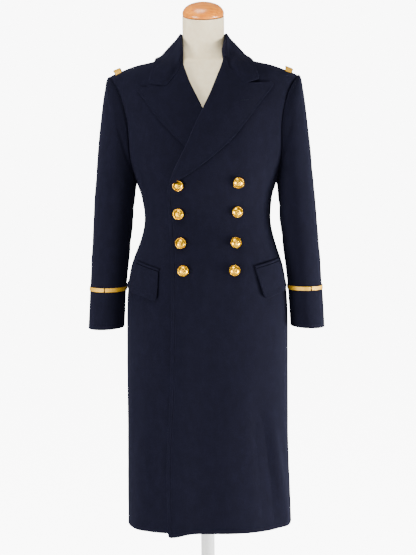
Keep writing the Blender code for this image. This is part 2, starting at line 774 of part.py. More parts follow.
def collar_stand(look):
    """The stand: a band round the neck, under the leaf's fold."""
    ribs = collar_ribs()
    outer = [[] for _ in range(STAND_ROWS + 1)]
    inner = [[] for _ in range(STAND_ROWS + 1)]
    last = len(ribs) - 1 - STAND_FIRST_RIB
    for j in range(STAND_FIRST_RIB, last + 1):
        top = ribs[j][0]
        front_share = max(0.0, 1 - min(j, len(ribs) - 1 - j) / COLLAR_SIDE_RIB)
        flat = Vector((top.x, top.y, 0)).normalized()
        top = top - flat * STAND_INSET * front_share
        top.z -= STAND_TOP_ROOM + STAND_FRONT_ROOM * front_share
        foot = neckline_foot(j, len(ribs))
        for row in range(STAND_ROWS + 1):
            spot = foot.lerp(top, row / STAND_ROWS)
            out_from_neck = Vector((spot.x, spot.y, 0)).normalized()
            outer[row].append(spot)
            inner[row].append(spot - out_from_neck * CLOTH)
    return wall("collar_stand", outer, inner, look)


def neckline_foot(j, count):
    """Foot of the stand on rib j, just above the neckline seam."""
    middle = (count - 1) // 2
    side = -1 if j < middle else 1
    rib = j if j <= middle else count - 1 - j
    if rib <= COLLAR_SIDE_RIB:
        t = rib / COLLAR_SIDE_RIB
        front = OVER_GORGE if side > 0 else UNDER_GORGE
        x = front[0] + (NECK_POINT - front[0]) * t
        z = front[1] + (NECK_HEIGHT - front[1]) * t
        y = -depth_at(x, z, False)
    else:
        t = (rib - COLLAR_SIDE_RIB) / (COLLAR_RIBS - COLLAR_SIDE_RIB)
        x = NECK_POINT * math.cos(0.5 * math.pi * t)
        z = back_neckline(x)
        y = NECK_BACK * math.sin(0.5 * math.pi * t)
    return Vector((side * x, y, z + STAND_FOOT_GAP))


# ---- sleeves and cuff lace -----------------------------------------------

def armhole_ring(side):
    """The armhole seam as a ring: underarm, front, shoulder, back."""
    ring = []
    for k in range(UPPER_ROWS + 1):
        ring.append(armhole(side, k, False))
    for k in range(UPPER_ROWS - 1, 0, -1):
        ring.append(armhole(side, k, True))
    return [point + Vector((side * ARMHOLE_GAP, 0, 0)) for point in ring]


def sleeve_rings(side, fuller, swing):
    """Outer rings of a sleeve, each with one point for each armhole point."""
    rings = [armhole_ring(side)]
    last = len(SLEEVE_RINGS) - 1
    for index, row in enumerate(SLEEVE_RINGS):
        inner_x, inner_z, outer_x, outer_z, front, back, forward = row
        middle = Vector((0.5 * (inner_x + outer_x), 0, 0.5 * (inner_z + outer_z)))
        half = Vector((0.5 * (outer_x - inner_x), 0, 0.5 * (outer_z - inner_z)))
        half.x *= 1.0 + fuller * ease(index / (SLEEVE_FULL_BY * last))
        ring = []
        for k in range(2 * UPPER_ROWS):
            turn = math.pi * k / UPPER_ROWS
            reach = front if k <= UPPER_ROWS else back
            spot = middle - half * math.cos(turn)
            y = -reach * math.sin(turn) - forward
            x = side * (spot.x + swing * ease((SWING_TOP - spot.z)
                                              / (SWING_TOP - SWING_WHOLE)))
            x += section(spot.z)[4] * (1 - ease(index / (SLEEVE_SHIFT_BY * last)))
            ring.append(Vector((x, y, spot.z)))
        rings.append(ring)
    return rings


def inner_ring(ring, thick):
    """The same ring, moved towards its own middle by the wall's thickness."""
    middle = sum(ring, Vector()) / len(ring)
    count = len(ring)
    moved_ring = []
    for i, point in enumerate(ring):
        along = (ring[(i + 1) % count] - ring[i - 1]).normalized()
        inward = middle - point
        inward = (inward - along * inward.dot(along)).normalized()
        moved_ring.append(point + inward * thick)
    return moved_ring


def sleeve(name, side, fuller, swing, look):
    outer = sleeve_rings(side, fuller, swing)
    inner = [inner_ring(ring, CLOTH) for ring in outer]
    return wall(name, outer, inner, look, around=True)


def braid(name, side, fuller, swing, look):
    """One ring of lace round the cuff; its ends nearly meet."""
    rings = sleeve_rings(side, fuller, swing)
    chosen = [rings[index + 1] for index in BRAID_RINGS]
    count = len(chosen[0])
    outer = []
    inner = []
    for ring in chosen:
        near = inner_ring(ring, -SEAM_GAP)
        far = inner_ring(ring, -SEAM_GAP - BRAID_THICK)
        order = [(BRAID_GAP_RING + i) % count for i in range(count + 1)]
        far = [far[i] for i in order]
        near = [near[i] for i in order]
        for line in (far, near):
            line[0] = line[0].lerp(line[1], BRAID_END_SHARE)
            line[-1] = line[-1].lerp(line[-2], BRAID_END_SHARE)
        outer.append(far)
        inner.append(near)
    return wall(name, outer, inner, look)


# ---- pockets, buttons, shoulder loops ------------------------------------

def flap(name, side, corners, look):
    """A pocket flap: its foot stands a little off the panel."""
    over = side > 0
    top_front, top_rear, foot_rear, foot_front = corners
    outer = []
    inner = []
    for j in range(FLAP_ROWS + 1):
        down = j / FLAP_ROWS
        outer_row = []
        inner_row = []
        for i in range(FLAP_COLS + 1):
            across = i / FLAP_COLS
            rounding = corner_round(across, down)
            values = []
            for column in range(len(FLAP_COLUMNS)):
                top = top_front[column] + (top_rear[column] - top_front[column]) * across
                foot = (foot_front[column]
                        + (foot_rear[column] - foot_front[column]) * across)
                values.append(top + (foot - top) * (down - rounding))
            x, z, stand_off = values
            outer_row.append(front_point(side * x, z, over, stand_off + FLAP_THICK))
            inner_row.append(front_point(side * x, z, over, stand_off))
        outer.append(outer_row)
        inner.append(inner_row)
    return wall(name, outer, inner, look)


def corner_round(across, down):
    """Lift the flap's two lower corners so that they read as rounded."""
    corner = max(0.0, abs(across - 0.5) - FLAP_CORNER_FROM) / (0.5 - FLAP_CORNER_FROM)
    return FLAP_CORNER_LIFT * corner * corner * down ** 3


def welt(name, side, corners, look):
    """The raised welt along the pocket's mouth, above the flap."""
    over = side > 0
    top_front, top_rear = corners[0], corners[1]
    along = Vector((top_rear[0] - top_front[0], top_rear[1] - top_front[1]))
    up = Vector((-along.y, along.x)).normalized()
    outer = []
    inner = []
    for j in range(WELT_ROWS + 1):
        rise = WELT_GAP + WELT_WIDTH * j / WELT_ROWS
        crown = WELT_CROWN if 0 < j < WELT_ROWS else 0.0
        outer_row = []
        inner_row = []
        for i in range(FLAP_COLS + 1):
            across = i / FLAP_COLS
            x = top_front[0] + along.x * across + up.x * rise
            z = top_front[1] + along.y * across + up.y * rise
            outer_row.append(front_point(side * x, z, over,
                                         LAY_GAP + WELT_THICK + crown))
            inner_row.append(front_point(side * x, z, over, LAY_GAP))
        outer.append(outer_row)
        inner.append(inner_row)
    return wall(name, outer, inner, look)


def button(name, x, height, look):
    """A domed button with a rim, standing on its shank."""
    seat = front_point(x, height, True, BUTTON_SEAT)
    outward = normal_at(Vector((x, -depth_at(x, height, False), height)))
    turn = Vector((0, 0, 1)).rotation_difference(outward).to_matrix().to_4x4()
    place = Matrix.Translation(seat) @ turn
    rings = turned(BUTTON_PROFILE, BUTTON_SIDES, place)
    crown = place @ Vector((0, 0, BUTTON_CROWN))
    return stacked_rings(name, rings, look, crown)


def shoulder_loop(name, side, look):
    """A short strip of lace that arches over the shoulder seam."""
    outer = []
    inner = []
    for j in range(2):
        x = side * (LOOP_MIDDLE + LOOP_WIDTH * (j - 0.5))
        outer_row = []
        inner_row = []
        for i in range(LOOP_COLS + 1):
            along = 2 * i / LOOP_COLS - 1
            reach = LOOP_REACH * along
            top = surface_from_above(x, reach)
            rise = LOOP_SEAT + LOOP_RISE * (1 - along ** 4)
            normal = normal_at(top)
            outer_row.append(top + normal * (rise + LOOP_THICK))
            inner_row.append(top + normal * rise)
        outer.append(outer_row)
        inner.append(inner_row)
    return wall(name, outer, inner, look)


def surface_from_above(x, y):
    """The body's surface above a point of the floor plan, near the shoulder."""
    low, high = 1.200, ridge(abs(x))
    for _ in range(30):
        middle = 0.5 * (low + high)
        if depth_at(x, middle, y > 0) > abs(y):
            low = middle
        else:
            high = middle
    return Vector((x, y, 0.5 * (low + high)))


# ---- dress form and stand ------------------------------------------------

def form_ring(height):
    """One ring of the form, inside the coat, flat at the shoulder ends."""
    half_width, front, rear, power, shift = section(height)
    plate = smooth_table(FORM_ARM_PLATE, 1, height)
    share = ease((height - FORM_SHOULDER_FROM) / FORM_SHOULDER_SPAN)
    room = FORM_ROOM + (FORM_SHOULDER_ROOM - FORM_ROOM) * share
    ring = []
    for i in range(FORM_SIDES):
        turn = 2 * math.pi * (i + 0.5) / FORM_SIDES
        sine, cosine = math.sin(turn), math.cos(turn)
        x = shift + math.copysign(abs(sine) ** (2 / power), sine) * half_width
        reach = front if cosine > 0 else rear
        y = -math.copysign(abs(cosine) ** (2 / power), cosine) * reach
        point = Vector((x, y, height))
        point = point - normal_at(point) * (CLOTH + room)
        point.x = max(-plate, min(plate, point.x))
        ring.append(point)
    return ring


def neck_ring(height, half_width, front, back, middle, tilt=0.0):
    ring = []
    for i in range(FORM_SIDES):
        turn = 2 * math.pi * (i + 0.5) / FORM_SIDES
        x = math.sin(turn) * half_width
        cosine = math.cos(turn)
        y = -cosine * (front if cosine > 0 else back)
        ring.append(Vector((x, middle + y, height + math.tan(tilt) * y)))
    return ring


def dress_form(look):
    bottom = [Vector((p.x * FORM_BOTTOM_SHARE, p.y * FORM_BOTTOM_SHARE, FORM_BOTTOM))
              for p in form_ring(FORM_BOTTOM)]
    rings = [bottom] + [form_ring(height) for height in FORM_ROWS]
    rings += [neck_ring(*row) for row in NECK_SECTIONS]
    rings.append(neck_ring(NECK_TOP, CAP_RADIUS, CAP_RADIUS, CAP_RADIUS,
                           NECK_TOP_MIDDLE, NECK_TILT))
    return stacked_rings("form", rings, look)


def neck_cap(look):
    place = (Matrix.Translation((0, NECK_TOP_MIDDLE, NECK_TOP))
             @ Matrix.Rotation(NECK_TILT, 4, "X"))
    rings = turned(CAP_PROFILE, FORM_SIDES, place)
    return stacked_rings("neck_cap", rings, look, place @ Vector((0, 0, CAP_CROWN)))


def stand(look):
    pole = turned(((POLE_RADIUS, BASE_TOP + SEAM_GAP),
                   (POLE_RADIUS, FORM_BOTTOM - SEAM_GAP)), ROUND_SIDES)
    stacked_rings("pole", pole, look)
    stacked_rings("base", turned(BASE_PROFILE, ROUND_SIDES), look)


# ---- the whole part ------------------------------------------------------

def build():
    for old in list(bpy.data.objects):
        bpy.data.objects.remove(old, do_unlink=True)

    wool = material("navy_melton", (0.011, 0.013, 0.026), 0.85)
    lace = material("gold_lace", (0.72, 0.50, 0.16), 0.45, 0.6)
    gilt = material("gilt_metal", (0.80, 0.52, 0.18), 0.28, 1.0)
    linen = material("form_linen", (0.84, 0.79, 0.70), 0.80)
    beech = material("cap_wood", (0.72, 0.36, 0.09), 0.35)
    enamel = material("white_steel", (0.86, 0.86, 0.85), 0.40)

    panel("front_over", 1, False, OVER_EDGE, True, OVER_COLS, wool)
    panel("front_under", -1, False, UNDER_EDGE, False, UNDER_COLS, wool)
    panel("back_right", -1, True, BACK_EDGE, False, BACK_COLS, wool)
    panel("back_left", 1, True, BACK_EDGE, False, BACK_COLS, wool)
    lapel("lapel_over", 1, True, OVER_LAPEL_EDGE, OVER_EDGE,
          OVER_GORGE, OVER_NOTCH, wool)
    lapel("lapel_under", -1, False, UNDER_LAPEL_EDGE, UNDER_EDGE,
          UNDER_GORGE, UNDER_NOTCH, wool)
    collar(wool)
    collar_stand(wool)
    for name, side, fuller, swing in SLEEVE_SIDES:
        sleeve("sleeve_" + name, side, fuller, swing, wool)
        braid("braid_" + name, side, fuller, swing, lace)
    for name, side, corners in FLAPS:
        flap(name, side, corners, wool)
        welt(name.replace("flap", "welt"), side, corners, wool)
    for name, x, height in BUTTONS:
        button(name, x, height, gilt)
    shoulder_loop("shoulder_loop_right", -1, lace)
    shoulder_loop("shoulder_loop_left", 1, lace)
    dress_form(linen)
    neck_cap(beech)
    stand(enamel)


build()
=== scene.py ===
"""Looks of a double-breasted greatcoat worn by a dress form on a pole stand.

Metres, +Z up, the coat's front faces -Y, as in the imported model. Each cloth
piece is a fine shell on the form of its own solid, with its seams, pressed
edges, creases and stitching.
"""
import json
import math

import bmesh
import bpy
import numpy as np
from mathutils import Matrix, Vector, noise
from mathutils.bvhtree import BVHTree

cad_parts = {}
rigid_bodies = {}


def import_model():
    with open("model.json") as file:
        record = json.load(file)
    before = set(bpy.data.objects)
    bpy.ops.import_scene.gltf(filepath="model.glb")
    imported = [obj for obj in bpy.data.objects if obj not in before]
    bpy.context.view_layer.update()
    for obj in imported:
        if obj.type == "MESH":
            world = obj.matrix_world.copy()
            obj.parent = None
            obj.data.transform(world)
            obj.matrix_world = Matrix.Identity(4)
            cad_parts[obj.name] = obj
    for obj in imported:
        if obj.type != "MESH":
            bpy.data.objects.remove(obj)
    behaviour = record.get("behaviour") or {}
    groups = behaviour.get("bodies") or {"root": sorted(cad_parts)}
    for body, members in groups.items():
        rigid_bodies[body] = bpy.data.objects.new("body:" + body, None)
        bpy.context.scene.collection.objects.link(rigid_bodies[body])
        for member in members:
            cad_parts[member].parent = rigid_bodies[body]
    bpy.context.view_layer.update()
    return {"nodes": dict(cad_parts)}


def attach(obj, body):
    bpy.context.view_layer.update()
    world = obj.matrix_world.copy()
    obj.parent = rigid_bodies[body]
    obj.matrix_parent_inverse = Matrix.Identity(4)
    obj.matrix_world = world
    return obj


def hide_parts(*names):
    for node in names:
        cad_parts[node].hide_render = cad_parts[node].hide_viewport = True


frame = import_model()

MM = 0.001

for every in bpy.data.objects:
    every.select_set(False)


# ---- camera ---------------------------------------------------------------
# The photograph was taken from 2.8 m, a little above the buttons, tipped down
# 5.5 degrees and rolled by half a degree.
CAMERA_PLACE = (0.0058, -2.800, 1.109)
CAMERA_DOWN = 5.5
CAMERA_ROLL = -0.5
CAMERA_LENS = 77.81      # mm on a 36 mm sensor, which the long side fits


def add_object(name, data):
    """A new object in the scene."""
    made = bpy.data.objects.new(name, data)
    bpy.context.scene.collection.objects.link(made)
    return made


camera_data = bpy.data.cameras.new("camera")
camera_data.lens = CAMERA_LENS
camera_data.sensor_width = 36.0
camera = add_object("camera", camera_data)
camera.matrix_world = (Matrix.Translation(CAMERA_PLACE)
                       @ Matrix.Rotation(math.radians(90.0 - CAMERA_DOWN), 4, "X")
                       @ Matrix.Rotation(math.radians(CAMERA_ROLL), 4, "Z"))
bpy.context.scene.camera = camera


# ---- studio ---------------------------------------------------------------
# A white photographic room: a matt white floor and surround that burn out to
# white in the picture, and soft lights in front that leave hardly a shadow.
FLOOR_RADIUS = 40.0
ROOM_LIGHT = 0.42        # how strongly the surround lights the coat
ROOM_WHITE = 9.0         # how bright the surround itself looks to the camera


def hex_colour(code):
    """An sRGB hex value as linear red, green, blue and alpha."""
    values = [int(code[i:i + 2], 16) / 255 for i in (1, 3, 5)]
    return [v / 12.92 if v <= 0.04045 else ((v + 0.055) / 1.055) ** 2.4
            for v in values] + [1.0]


def feed(tree, node, inputs):
    """Give a node's inputs their values, or link them to other nodes' outputs."""
    for name, value in inputs.items():
        if isinstance(value, bpy.types.NodeSocket):
            tree.links.new(value, node.inputs[name])
        else:
            node.inputs[name].default_value = value


def add_node(tree, kind, inputs=None, **settings):
    """Add a node with its settings and what feeds it."""
    made = tree.nodes.new(kind)
    for name, value in settings.items():
        setattr(made, name, value)
    feed(tree, made, inputs or {})
    return made


def new_material(name):
    """A material with an empty Principled shader, its node tree and the shader."""
    made = bpy.data.materials.new(name)
    made.use_nodes = True
    return made, made.node_tree, made.node_tree.nodes["Principled BSDF"]


def set_ramp(ramp, stops):
    """Give a colour ramp its stops, as (place, hex colour)."""
    elements = ramp.color_ramp.elements
    while len(elements) < len(stops):
        elements.new(0.5)
    for element, (place, code) in zip(elements, stops):
        element.position = place
        element.color = hex_colour(code)


# Matt white emulsion on a studio floor, lit from below its own surface too, so
# that it stays as white as the surround behind it.
floor_paint, tree, shader = new_material("white_floor_paint")
seen = add_node(tree, "ShaderNodeLightPath").outputs["Is Camera Ray"]
glow = add_node(tree, "ShaderNodeMath", {0: seen, 1: ROOM_WHITE - ROOM_LIGHT},
                operation="MULTIPLY")
feed(tree, shader, {"Base Color": hex_colour("#F4F4F2"), "Roughness": 0.9,
                    "Emission Color": hex_colour("#FFFFFF"),
                    "Emission Strength": glow.outputs[0]})

bpy.ops.mesh.primitive_circle_add(vertices=96, radius=FLOOR_RADIUS, fill_type="NGON",
                                  location=(0, 0, 0))
floor = bpy.context.object
floor.name = "studio_floor"
floor.data.materials.append(floor_paint)
floor.select_set(False)

world = bpy.data.worlds.new("studio")
world.use_nodes = True
tree = world.node_tree
seen = add_node(tree, "ShaderNodeLightPath").outputs["Is Camera Ray"]
strength = add_node(tree, "ShaderNodeMapRange",
                    {"Value": seen, "To Min": ROOM_LIGHT, "To Max": ROOM_WHITE})
feed(tree, tree.nodes["Background"], {"Color": hex_colour("#FFFFFF"),
                                      "Strength": strength.outputs[0]})
bpy.context.scene.world = world

SOFT_LIGHTS = (
    # name, place, aim, side in metres, watts
    ("top", (-0.3, -0.7, 2.7), (0.0, 0.0, 1.45), 1.0, 34.0),
    ("low_left", (-1.8, -1.6, 0.40), (0.0, 0.0, 0.45), 1.0, 92.0),
    ("low_right", (2.0, -0.45, 0.30), (0.0, 0.0, 0.35), 0.8, 135.0),
)
for name, place, aim, side, watts in SOFT_LIGHTS:
    light_data = bpy.data.lights.new(name, "AREA")
    light_data.size = side
    light_data.energy = watts
    light = add_object(name, light_data)
    light.location = place
    light.rotation_mode = "QUATERNION"
    light.rotation_quaternion = (Vector(aim) - Vector(place)).to_track_quat("-Z", "Y")


# ---- fronts ---------------------------------------------------------------
# The two fronts of the coat: navy melton, a heavy wool cloth that is milled
# until its weave is hidden and then brushed to a short nap. Their free edges
# are turned, pressed and stitched; a dart takes in the waist under each chest.
MELTON_PATCH = 16 * MM   # soft clouds where the nap lies differently
MELTON_FIBRE = 1.3 * MM  # tufts of the nap, drawn a little larger than life

melton, tree, shader = new_material("brushed_wool_melton")
coords = add_node(tree, "ShaderNodeTexCoord").outputs["Object"]
hang = add_node(tree, "ShaderNodeMapping", {"Vector": coords, "Scale": (1, 1, 0.55)})
patches = add_node(tree, "ShaderNodeTexNoise",
                   {"Vector": hang.outputs[0], "Scale": 1 / MELTON_PATCH, "Detail": 5.0,
                    "Roughness": 0.62})
fibres = add_node(tree, "ShaderNodeTexNoise",
                  {"Vector": hang.outputs[0], "Scale": 1 / MELTON_FIBRE, "Detail": 3.0,
                   "Roughness": 0.7})
tone = add_node(tree, "ShaderNodeMath",
                {0: fibres.outputs["Fac"], 1: 1.8, 2: patches.outputs["Fac"]},
                operation="MULTIPLY_ADD")
tone_range = add_node(tree, "ShaderNodeMapRange",
                      {"Value": tone.outputs[0], "From Min": 0.70, "From Max": 2.10})
navy = add_node(tree, "ShaderNodeValToRGB", {"Fac": tone_range.outputs[0]})
set_ramp(navy, ((0.0, "#080812"), (0.5, "#0D0D1A"), (1.0, "#141424")))
nap = add_node(tree, "ShaderNodeBump", {"Height": fibres.outputs["Fac"], "Strength": 0.3,
                                        "Distance": 0.5 * MM})
feed(tree, shader, {"Base Color": navy.outputs[0], "Normal": nap.outputs[0],
                    "Roughness": 0.95, "Specular IOR Level": 0.08, "Sheen Weight": 0.07,
                    "Sheen Roughness": 0.5, "Sheen Tint": hex_colour("#8084B5")})

CLOTH = 3.0 * MM
RIM_ANGLE = math.radians(50)   # a solid's rim turns more than this, its faces less
FREE_EDGE = [x * MM for x in (0, 0.2, 0.5, 0.9, 1.4, 2.4)]
SEAM_EDGE = [x * MM for x in (0, 0.25, 0.7, 1.6)]
FREE_ROUND = 1.35 * MM
SEAM_ROUND = 0.7 * MM


def outer_sheet(node, hub, inward=False):
    """One face of a CAD wall, merged and without its rim: points, neighbours, borders.

    Of the wall's two faces it is the one that looks away from the upright
    line through hub, or the one that looks towards it.
    """
    bm = bmesh.new()
    bm.from_mesh(frame["nodes"][node].data)
    bmesh.ops.remove_doubles(bm, verts=bm.verts, dist=0.01 * MM)
    left = set(bm.faces)
    best, best_score = None, -math.inf
    while left:
        todo = [left.pop()]
        sheet = list(todo)
        while todo:
            face = todo.pop()
            for edge in face.edges:
                for other in edge.link_faces:
                    if other in left and face.normal.angle(other.normal) < RIM_ANGLE:
                        left.remove(other)
                        sheet.append(other)
                        todo.append(other)
        score = 0.0
        for face in sheet:
            middle = face.calc_center_median()
            away = Vector((middle.x - hub[0], middle.y - hub[1], 0.0)).normalized()
            score += face.calc_area() * face.normal.dot(away)
        if inward:
            score = -score
        if score > best_score:
            best, best_score = set(sheet), score
    points, near, border = {}, {}, {}
    for face in best:
        for edge in face.edges:
            a, b = edge.verts
            for one, other in ((a, b), (b, a)):
                points[one.index] = np.array(one.co)
                near.setdefault(one.index, set()).add(other.index)
            if sum(other in best for other in edge.link_faces) == 1:
                border.setdefault(a.index, []).append(b.index)
                border.setdefault(b.index, []).append(a.index)
    bm.free()
    loops = []
    while border:
        loop = [next(iter(border))]
        while True:
            onward = [v for v in border.pop(loop[-1]) if v in border]
            if not onward:
                break
            loop.append(onward[0])
        loops.append(loop)
    return points, near, loops


def layers(start, near):
    """How many steps each point lies from a starting row."""
    depth = {point: 0 for point in start}
    ring = list(start)
    while ring:
        reached = []
        for point in ring:
            for other in near[point]:
                if other not in depth:
                    depth[other] = depth[point] + 1
                    reached.append(other)
        ring = reached
    return depth


def panel_grid(node, corners, hub=(0.0, 0.0), inward=False):
    """The rows and columns of a CAD panel's face, as an array of points.

    corners are places near the first row's start and end and the last row's
    start and end.
    """
    points, near, loops = outer_sheet(node, hub, inward)
    loop = max(loops, key=len)
    picks = [min(loop, key=lambda v: np.linalg.norm(points[v] - np.array(corner)))
             for corner in corners]

    def chain(first, last, avoid):
        for way in (loop, loop[::-1]):
            turned = way[way.index(first):] + way[:way.index(first)]
            found = turned[:turned.index(last) + 1]
            if not any(v in found for v in avoid):
                return found
        raise ValueError(node + " has corners out of order")

    row_of = layers(chain(picks[0], picks[1], picks[2:]), near)
    col_of = layers(chain(picks[0], picks[2], (picks[1], picks[3])), near)
    rows, cols = max(row_of.values()) + 1, max(col_of.values()) + 1
    grid = np.full((rows, cols, 3), np.nan)
    for v, place in points.items():
        grid[row_of[v], col_of[v]] = place
    if len(points) != rows * cols or np.isnan(grid).any():
        raise ValueError(node + " isn't a whole grid")
    return grid


def spline(knots, values, at):
    """A natural cubic through values at knots, read at other places."""
    knots, at = np.asarray(knots), np.asarray(at)
    steps = np.diff(knots)
    count = len(knots)
    system = np.eye(count)
    for i in range(1, count - 1):
        system[i, i - 1:i + 2] = steps[i - 1], 2 * (steps[i - 1] + steps[i]), steps[i]
    flat = values.reshape(count, -1)
    slopes = np.diff(flat, axis=0) / steps[:, None]
    right = np.zeros_like(flat)
    right[1:-1] = 6 * np.diff(slopes, axis=0)
    bend = np.linalg.solve(system, right)
    i = np.clip(np.searchsorted(knots, at, side="right") - 1, 0, count - 2)
    h = steps[i][:, None]
    a = (knots[i + 1] - at)[:, None] / h
    b = 1 - a
    read = (a * flat[i] + b * flat[i + 1]
            + ((a ** 3 - a) * bend[i] + (b ** 3 - b) * bend[i + 1]) * h * h / 6)
    return read.reshape(len(at), *values.shape[1:])


def arc(points):
    """Distance along a line of points from its start."""
    return np.concatenate([[0], np.cumsum(np.linalg.norm(np.diff(points, axis=0), axis=1))])


def run(points, axis):
    """Distance from its start along every column (0) or row (1) of a grid."""
    gone = np.cumsum(np.linalg.norm(np.diff(points, axis=axis), axis=2), axis=axis)
    return np.pad(gone, ((1, 0), (0, 0)) if axis == 0 else ((0, 0), (1, 0)))


def stations(length, count, start, end):
    """Fine places at both ends of a length and even ones between."""
    middle = np.linspace(start[-1], length - end[-1], count + 1)
    return np.concatenate([start[:-1], middle, length - np.array(end[:-1])[::-1]])


class Sheet:
    """A refined grid: points, outward normals and distances from its four sides.

    With around, its columns close into a tube.
    """

    def __init__(self, points, hub=(0.0, 0.0), around=False):
        self.points = points
        self.around = around
        wide = points
        if around:
            wide = np.concatenate([points[:, -1:], points, points[:, :1]], axis=1)
        normals = np.cross(np.gradient(wide, axis=1), np.gradient(wide, axis=0))
        if around:
            normals = normals[:, 1:-1]
        self.normals = normals / np.linalg.norm(normals, axis=2, keepdims=True)
        outward = points - np.array([hub[0], hub[1], 0.0])
        outward[..., 2] = 0.0
        if (self.normals * outward).sum() < 0:
            self.normals = -self.normals
        self.from_start = run(points, 1)
        self.to_end = self.from_start[:, -1:] - self.from_start
        self.from_first = run(points, 0)
        self.to_last = self.from_first[-1:] - self.from_first


def refine(grid, row_step, col_step, first=SEAM_EDGE, last=SEAM_EDGE,
           start=SEAM_EDGE, end=SEAM_EDGE, kink=None, kink_rows=(25 * MM, 0.0)):
    """Spline a coarse grid to fine rows and columns, finest along its four sides.

    kink is a column where the first rows turn sharply, and with a second length
    the last rows too; past those lengths they are smooth there.
    """
    row_knots = np.mean([arc(grid[:, i]) for i in range(grid.shape[1])], axis=0)
    count = max(2, round((row_knots[-1] - first[-1] - last[-1]) / row_step))
    row_places = stations(row_knots[-1], count, first, last)
    rows = spline(row_knots, grid, row_places)
    lengths = [arc(row)[-1] for row in rows]
    count = max(2, round((np.mean(lengths) - start[-1] - end[-1]) / col_step))
    fine = []
    for row, length, place in zip(rows, lengths, row_places):
        squeeze = min(1.0, 0.45 * length / (start[-1] + end[-1]))
        places = stations(length, count, np.array(start) * squeeze, np.array(end) * squeeze)
        knots = arc(row)
        smooth = spline(knots, row, places)
        if kink is not None:
            sharp = np.where((places < knots[kink])[:, None],
                             spline(knots[:kink + 1], row[:kink + 1], places),
                             spline(knots[kink:], row[kink:], places))
            share = 1 - np.clip(place / kink_rows[0], 0.0, 1.0)
            if kink_rows[1]:
                share = max(share, 1 - (row_knots[-1] - place) / kink_rows[1])
            smooth = smooth + share * (sharp - smooth)
        fine.append(smooth)
    return np.array(fine)


def drop_at(distance, radius):
    """How far a rounded edge has dropped, this far in from its rim."""
    inside = np.clip(radius - distance, 0.0, radius)
    return radius - np.sqrt(radius * radius - inside * inside)


def all_round(first, start=None):
    """The same setting for a sheet's first and last rows, and for its two ends."""
    start = first if start is None else start
    return {"first": first, "last": first, "start": start, "end": start}


def edge_drop(sheet, first=SEAM_ROUND, last=SEAM_ROUND, start=SEAM_ROUND, end=SEAM_ROUND):
    """Rounding of a sheet's free sides; each takes its own radius."""
    drops = [drop_at(sheet.from_first, first), drop_at(sheet.to_last, last)]
    if not sheet.around:
        drops += [drop_at(sheet.from_start, start), drop_at(sheet.to_end, end)]
    return np.maximum.reduce(drops)


def dent(distance, width):
    """A soft trough's share at this distance from its middle."""
    return np.exp(-(distance / width) ** 2)


def fade(value, low, high):
    """Zero below low, one above high, soft between."""
    t = np.clip((value - low) / (high - low), 0.0, 1.0)
    return t * t * (3 - 2 * t)


def unevenness(points, size, depth, shift):
    """Slow unevenness of hanging cloth; size is one length, or one for each axis."""
    scale = 1.0 / np.broadcast_to(np.array(size), 3)
    flat = points.reshape(-1, 3) * scale + shift
    return np.array([noise.noise(Vector(p)) for p in flat]).reshape(points.shape[:2]) * depth


def cloth_wall(name, outer, inner, look, around=False):
    """A closed wall between two grids of points, smooth."""
    rows, cols = outer.shape[:2]
    spans = cols if around else cols - 1
    half = rows * cols

    def quad(a, b, c, d, flip):
        return (d, c, b, a) if flip else (a, b, c, d)

    index = np.arange(half).reshape(rows, cols)
    faces = []
    for base, flip in ((0, False), (half, True)):
        for j in range(rows - 1):
            for i in range(spans):
                k = (i + 1) % cols
                faces.append(quad(*(int(base + v) for v in (
                    index[j, i], index[j, k], index[j + 1, k], index[j + 1, i])), flip))
    rims = [[(j, i) for i in range(cols)] for j in (0, rows - 1)]
    if not around:
        rims += [[(j, i) for j in range(rows)] for i in (0, cols - 1)]
    for number, rim in enumerate(rims):
        pairs = list(zip(rim, rim[1:]))
        if around:
            pairs.append((rim[-1], rim[0]))
        for one, other in pairs:
            a, b = int(index[one]), int(index[other])
            faces.append(quad(a, b, b + half, a + half, number in (0, 3)))
    points = np.concatenate([outer.reshape(-1, 3), inner.reshape(-1, 3)])
    mesh = bpy.data.meshes.new(name)
    mesh.from_pydata(points.tolist(), [], faces)
    bm = bmesh.new()
    bm.from_mesh(mesh)
    bmesh.ops.recalc_face_normals(bm, faces=bm.faces)
    bm.to_mesh(mesh)
    bm.free()
    mesh.shade_smooth()
    mesh.materials.append(look)
    return add_object(name, mesh)


def shell(name, sheet, relief, drop, look, thick=CLOTH):
    """A cloth wall from a refined sheet, its relief and its rounded rims."""
    outer = sheet.points + sheet.normals * (relief - drop)[..., None]
    inner = sheet.points - sheet.normals * (thick - np.minimum(drop, 0.45 * thick))[..., None]
    return cloth_wall(name, outer, inner, look, sheet.around)


def dress(made, slot, *nodes):
    """The piece rides with the coat and stands for CAD nodes; its slot is not used."""
    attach(made, "root")
    if nodes:
        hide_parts(*nodes)
    return made


def melton_piece(node, sheet, relief, drop, thick=CLOTH, also=()):
    """A piece of the coat's cloth in the place of its CAD node."""
    return dress(shell(node + "_cloth", sheet, relief, drop, melton, thick),
                 "navy_melton", node, *also)


def round_corners(points, corners):
    """Round corners of a refined grid; a corner is (last row, row's end, radius)."""
    points = points.copy()
    for last_row, row_end, radius in corners:
        view = points[::-1] if last_row else points
        view = view[:, ::-1] if row_end else view
        tip = view[0, 0].copy()
        down = run(view, 0)
        across = run(view, 1)
        u = np.clip(1 - down / radius, 0.0, 1.0)
        v = np.clip(1 - across / radius, 0.0, 1.0)
        up = tip - view[np.searchsorted(down[:, 0], radius), 0]
        side = tip - view[0, np.searchsorted(across[0], radius)]
        up /= np.linalg.norm(up)
        side /= np.linalg.norm(side)
        view += ((u * np.sqrt(1 - v * v / 2) - u) * radius)[..., None] * up
        view += ((v * np.sqrt(1 - u * u / 2) - v) * radius)[..., None] * side
    return points


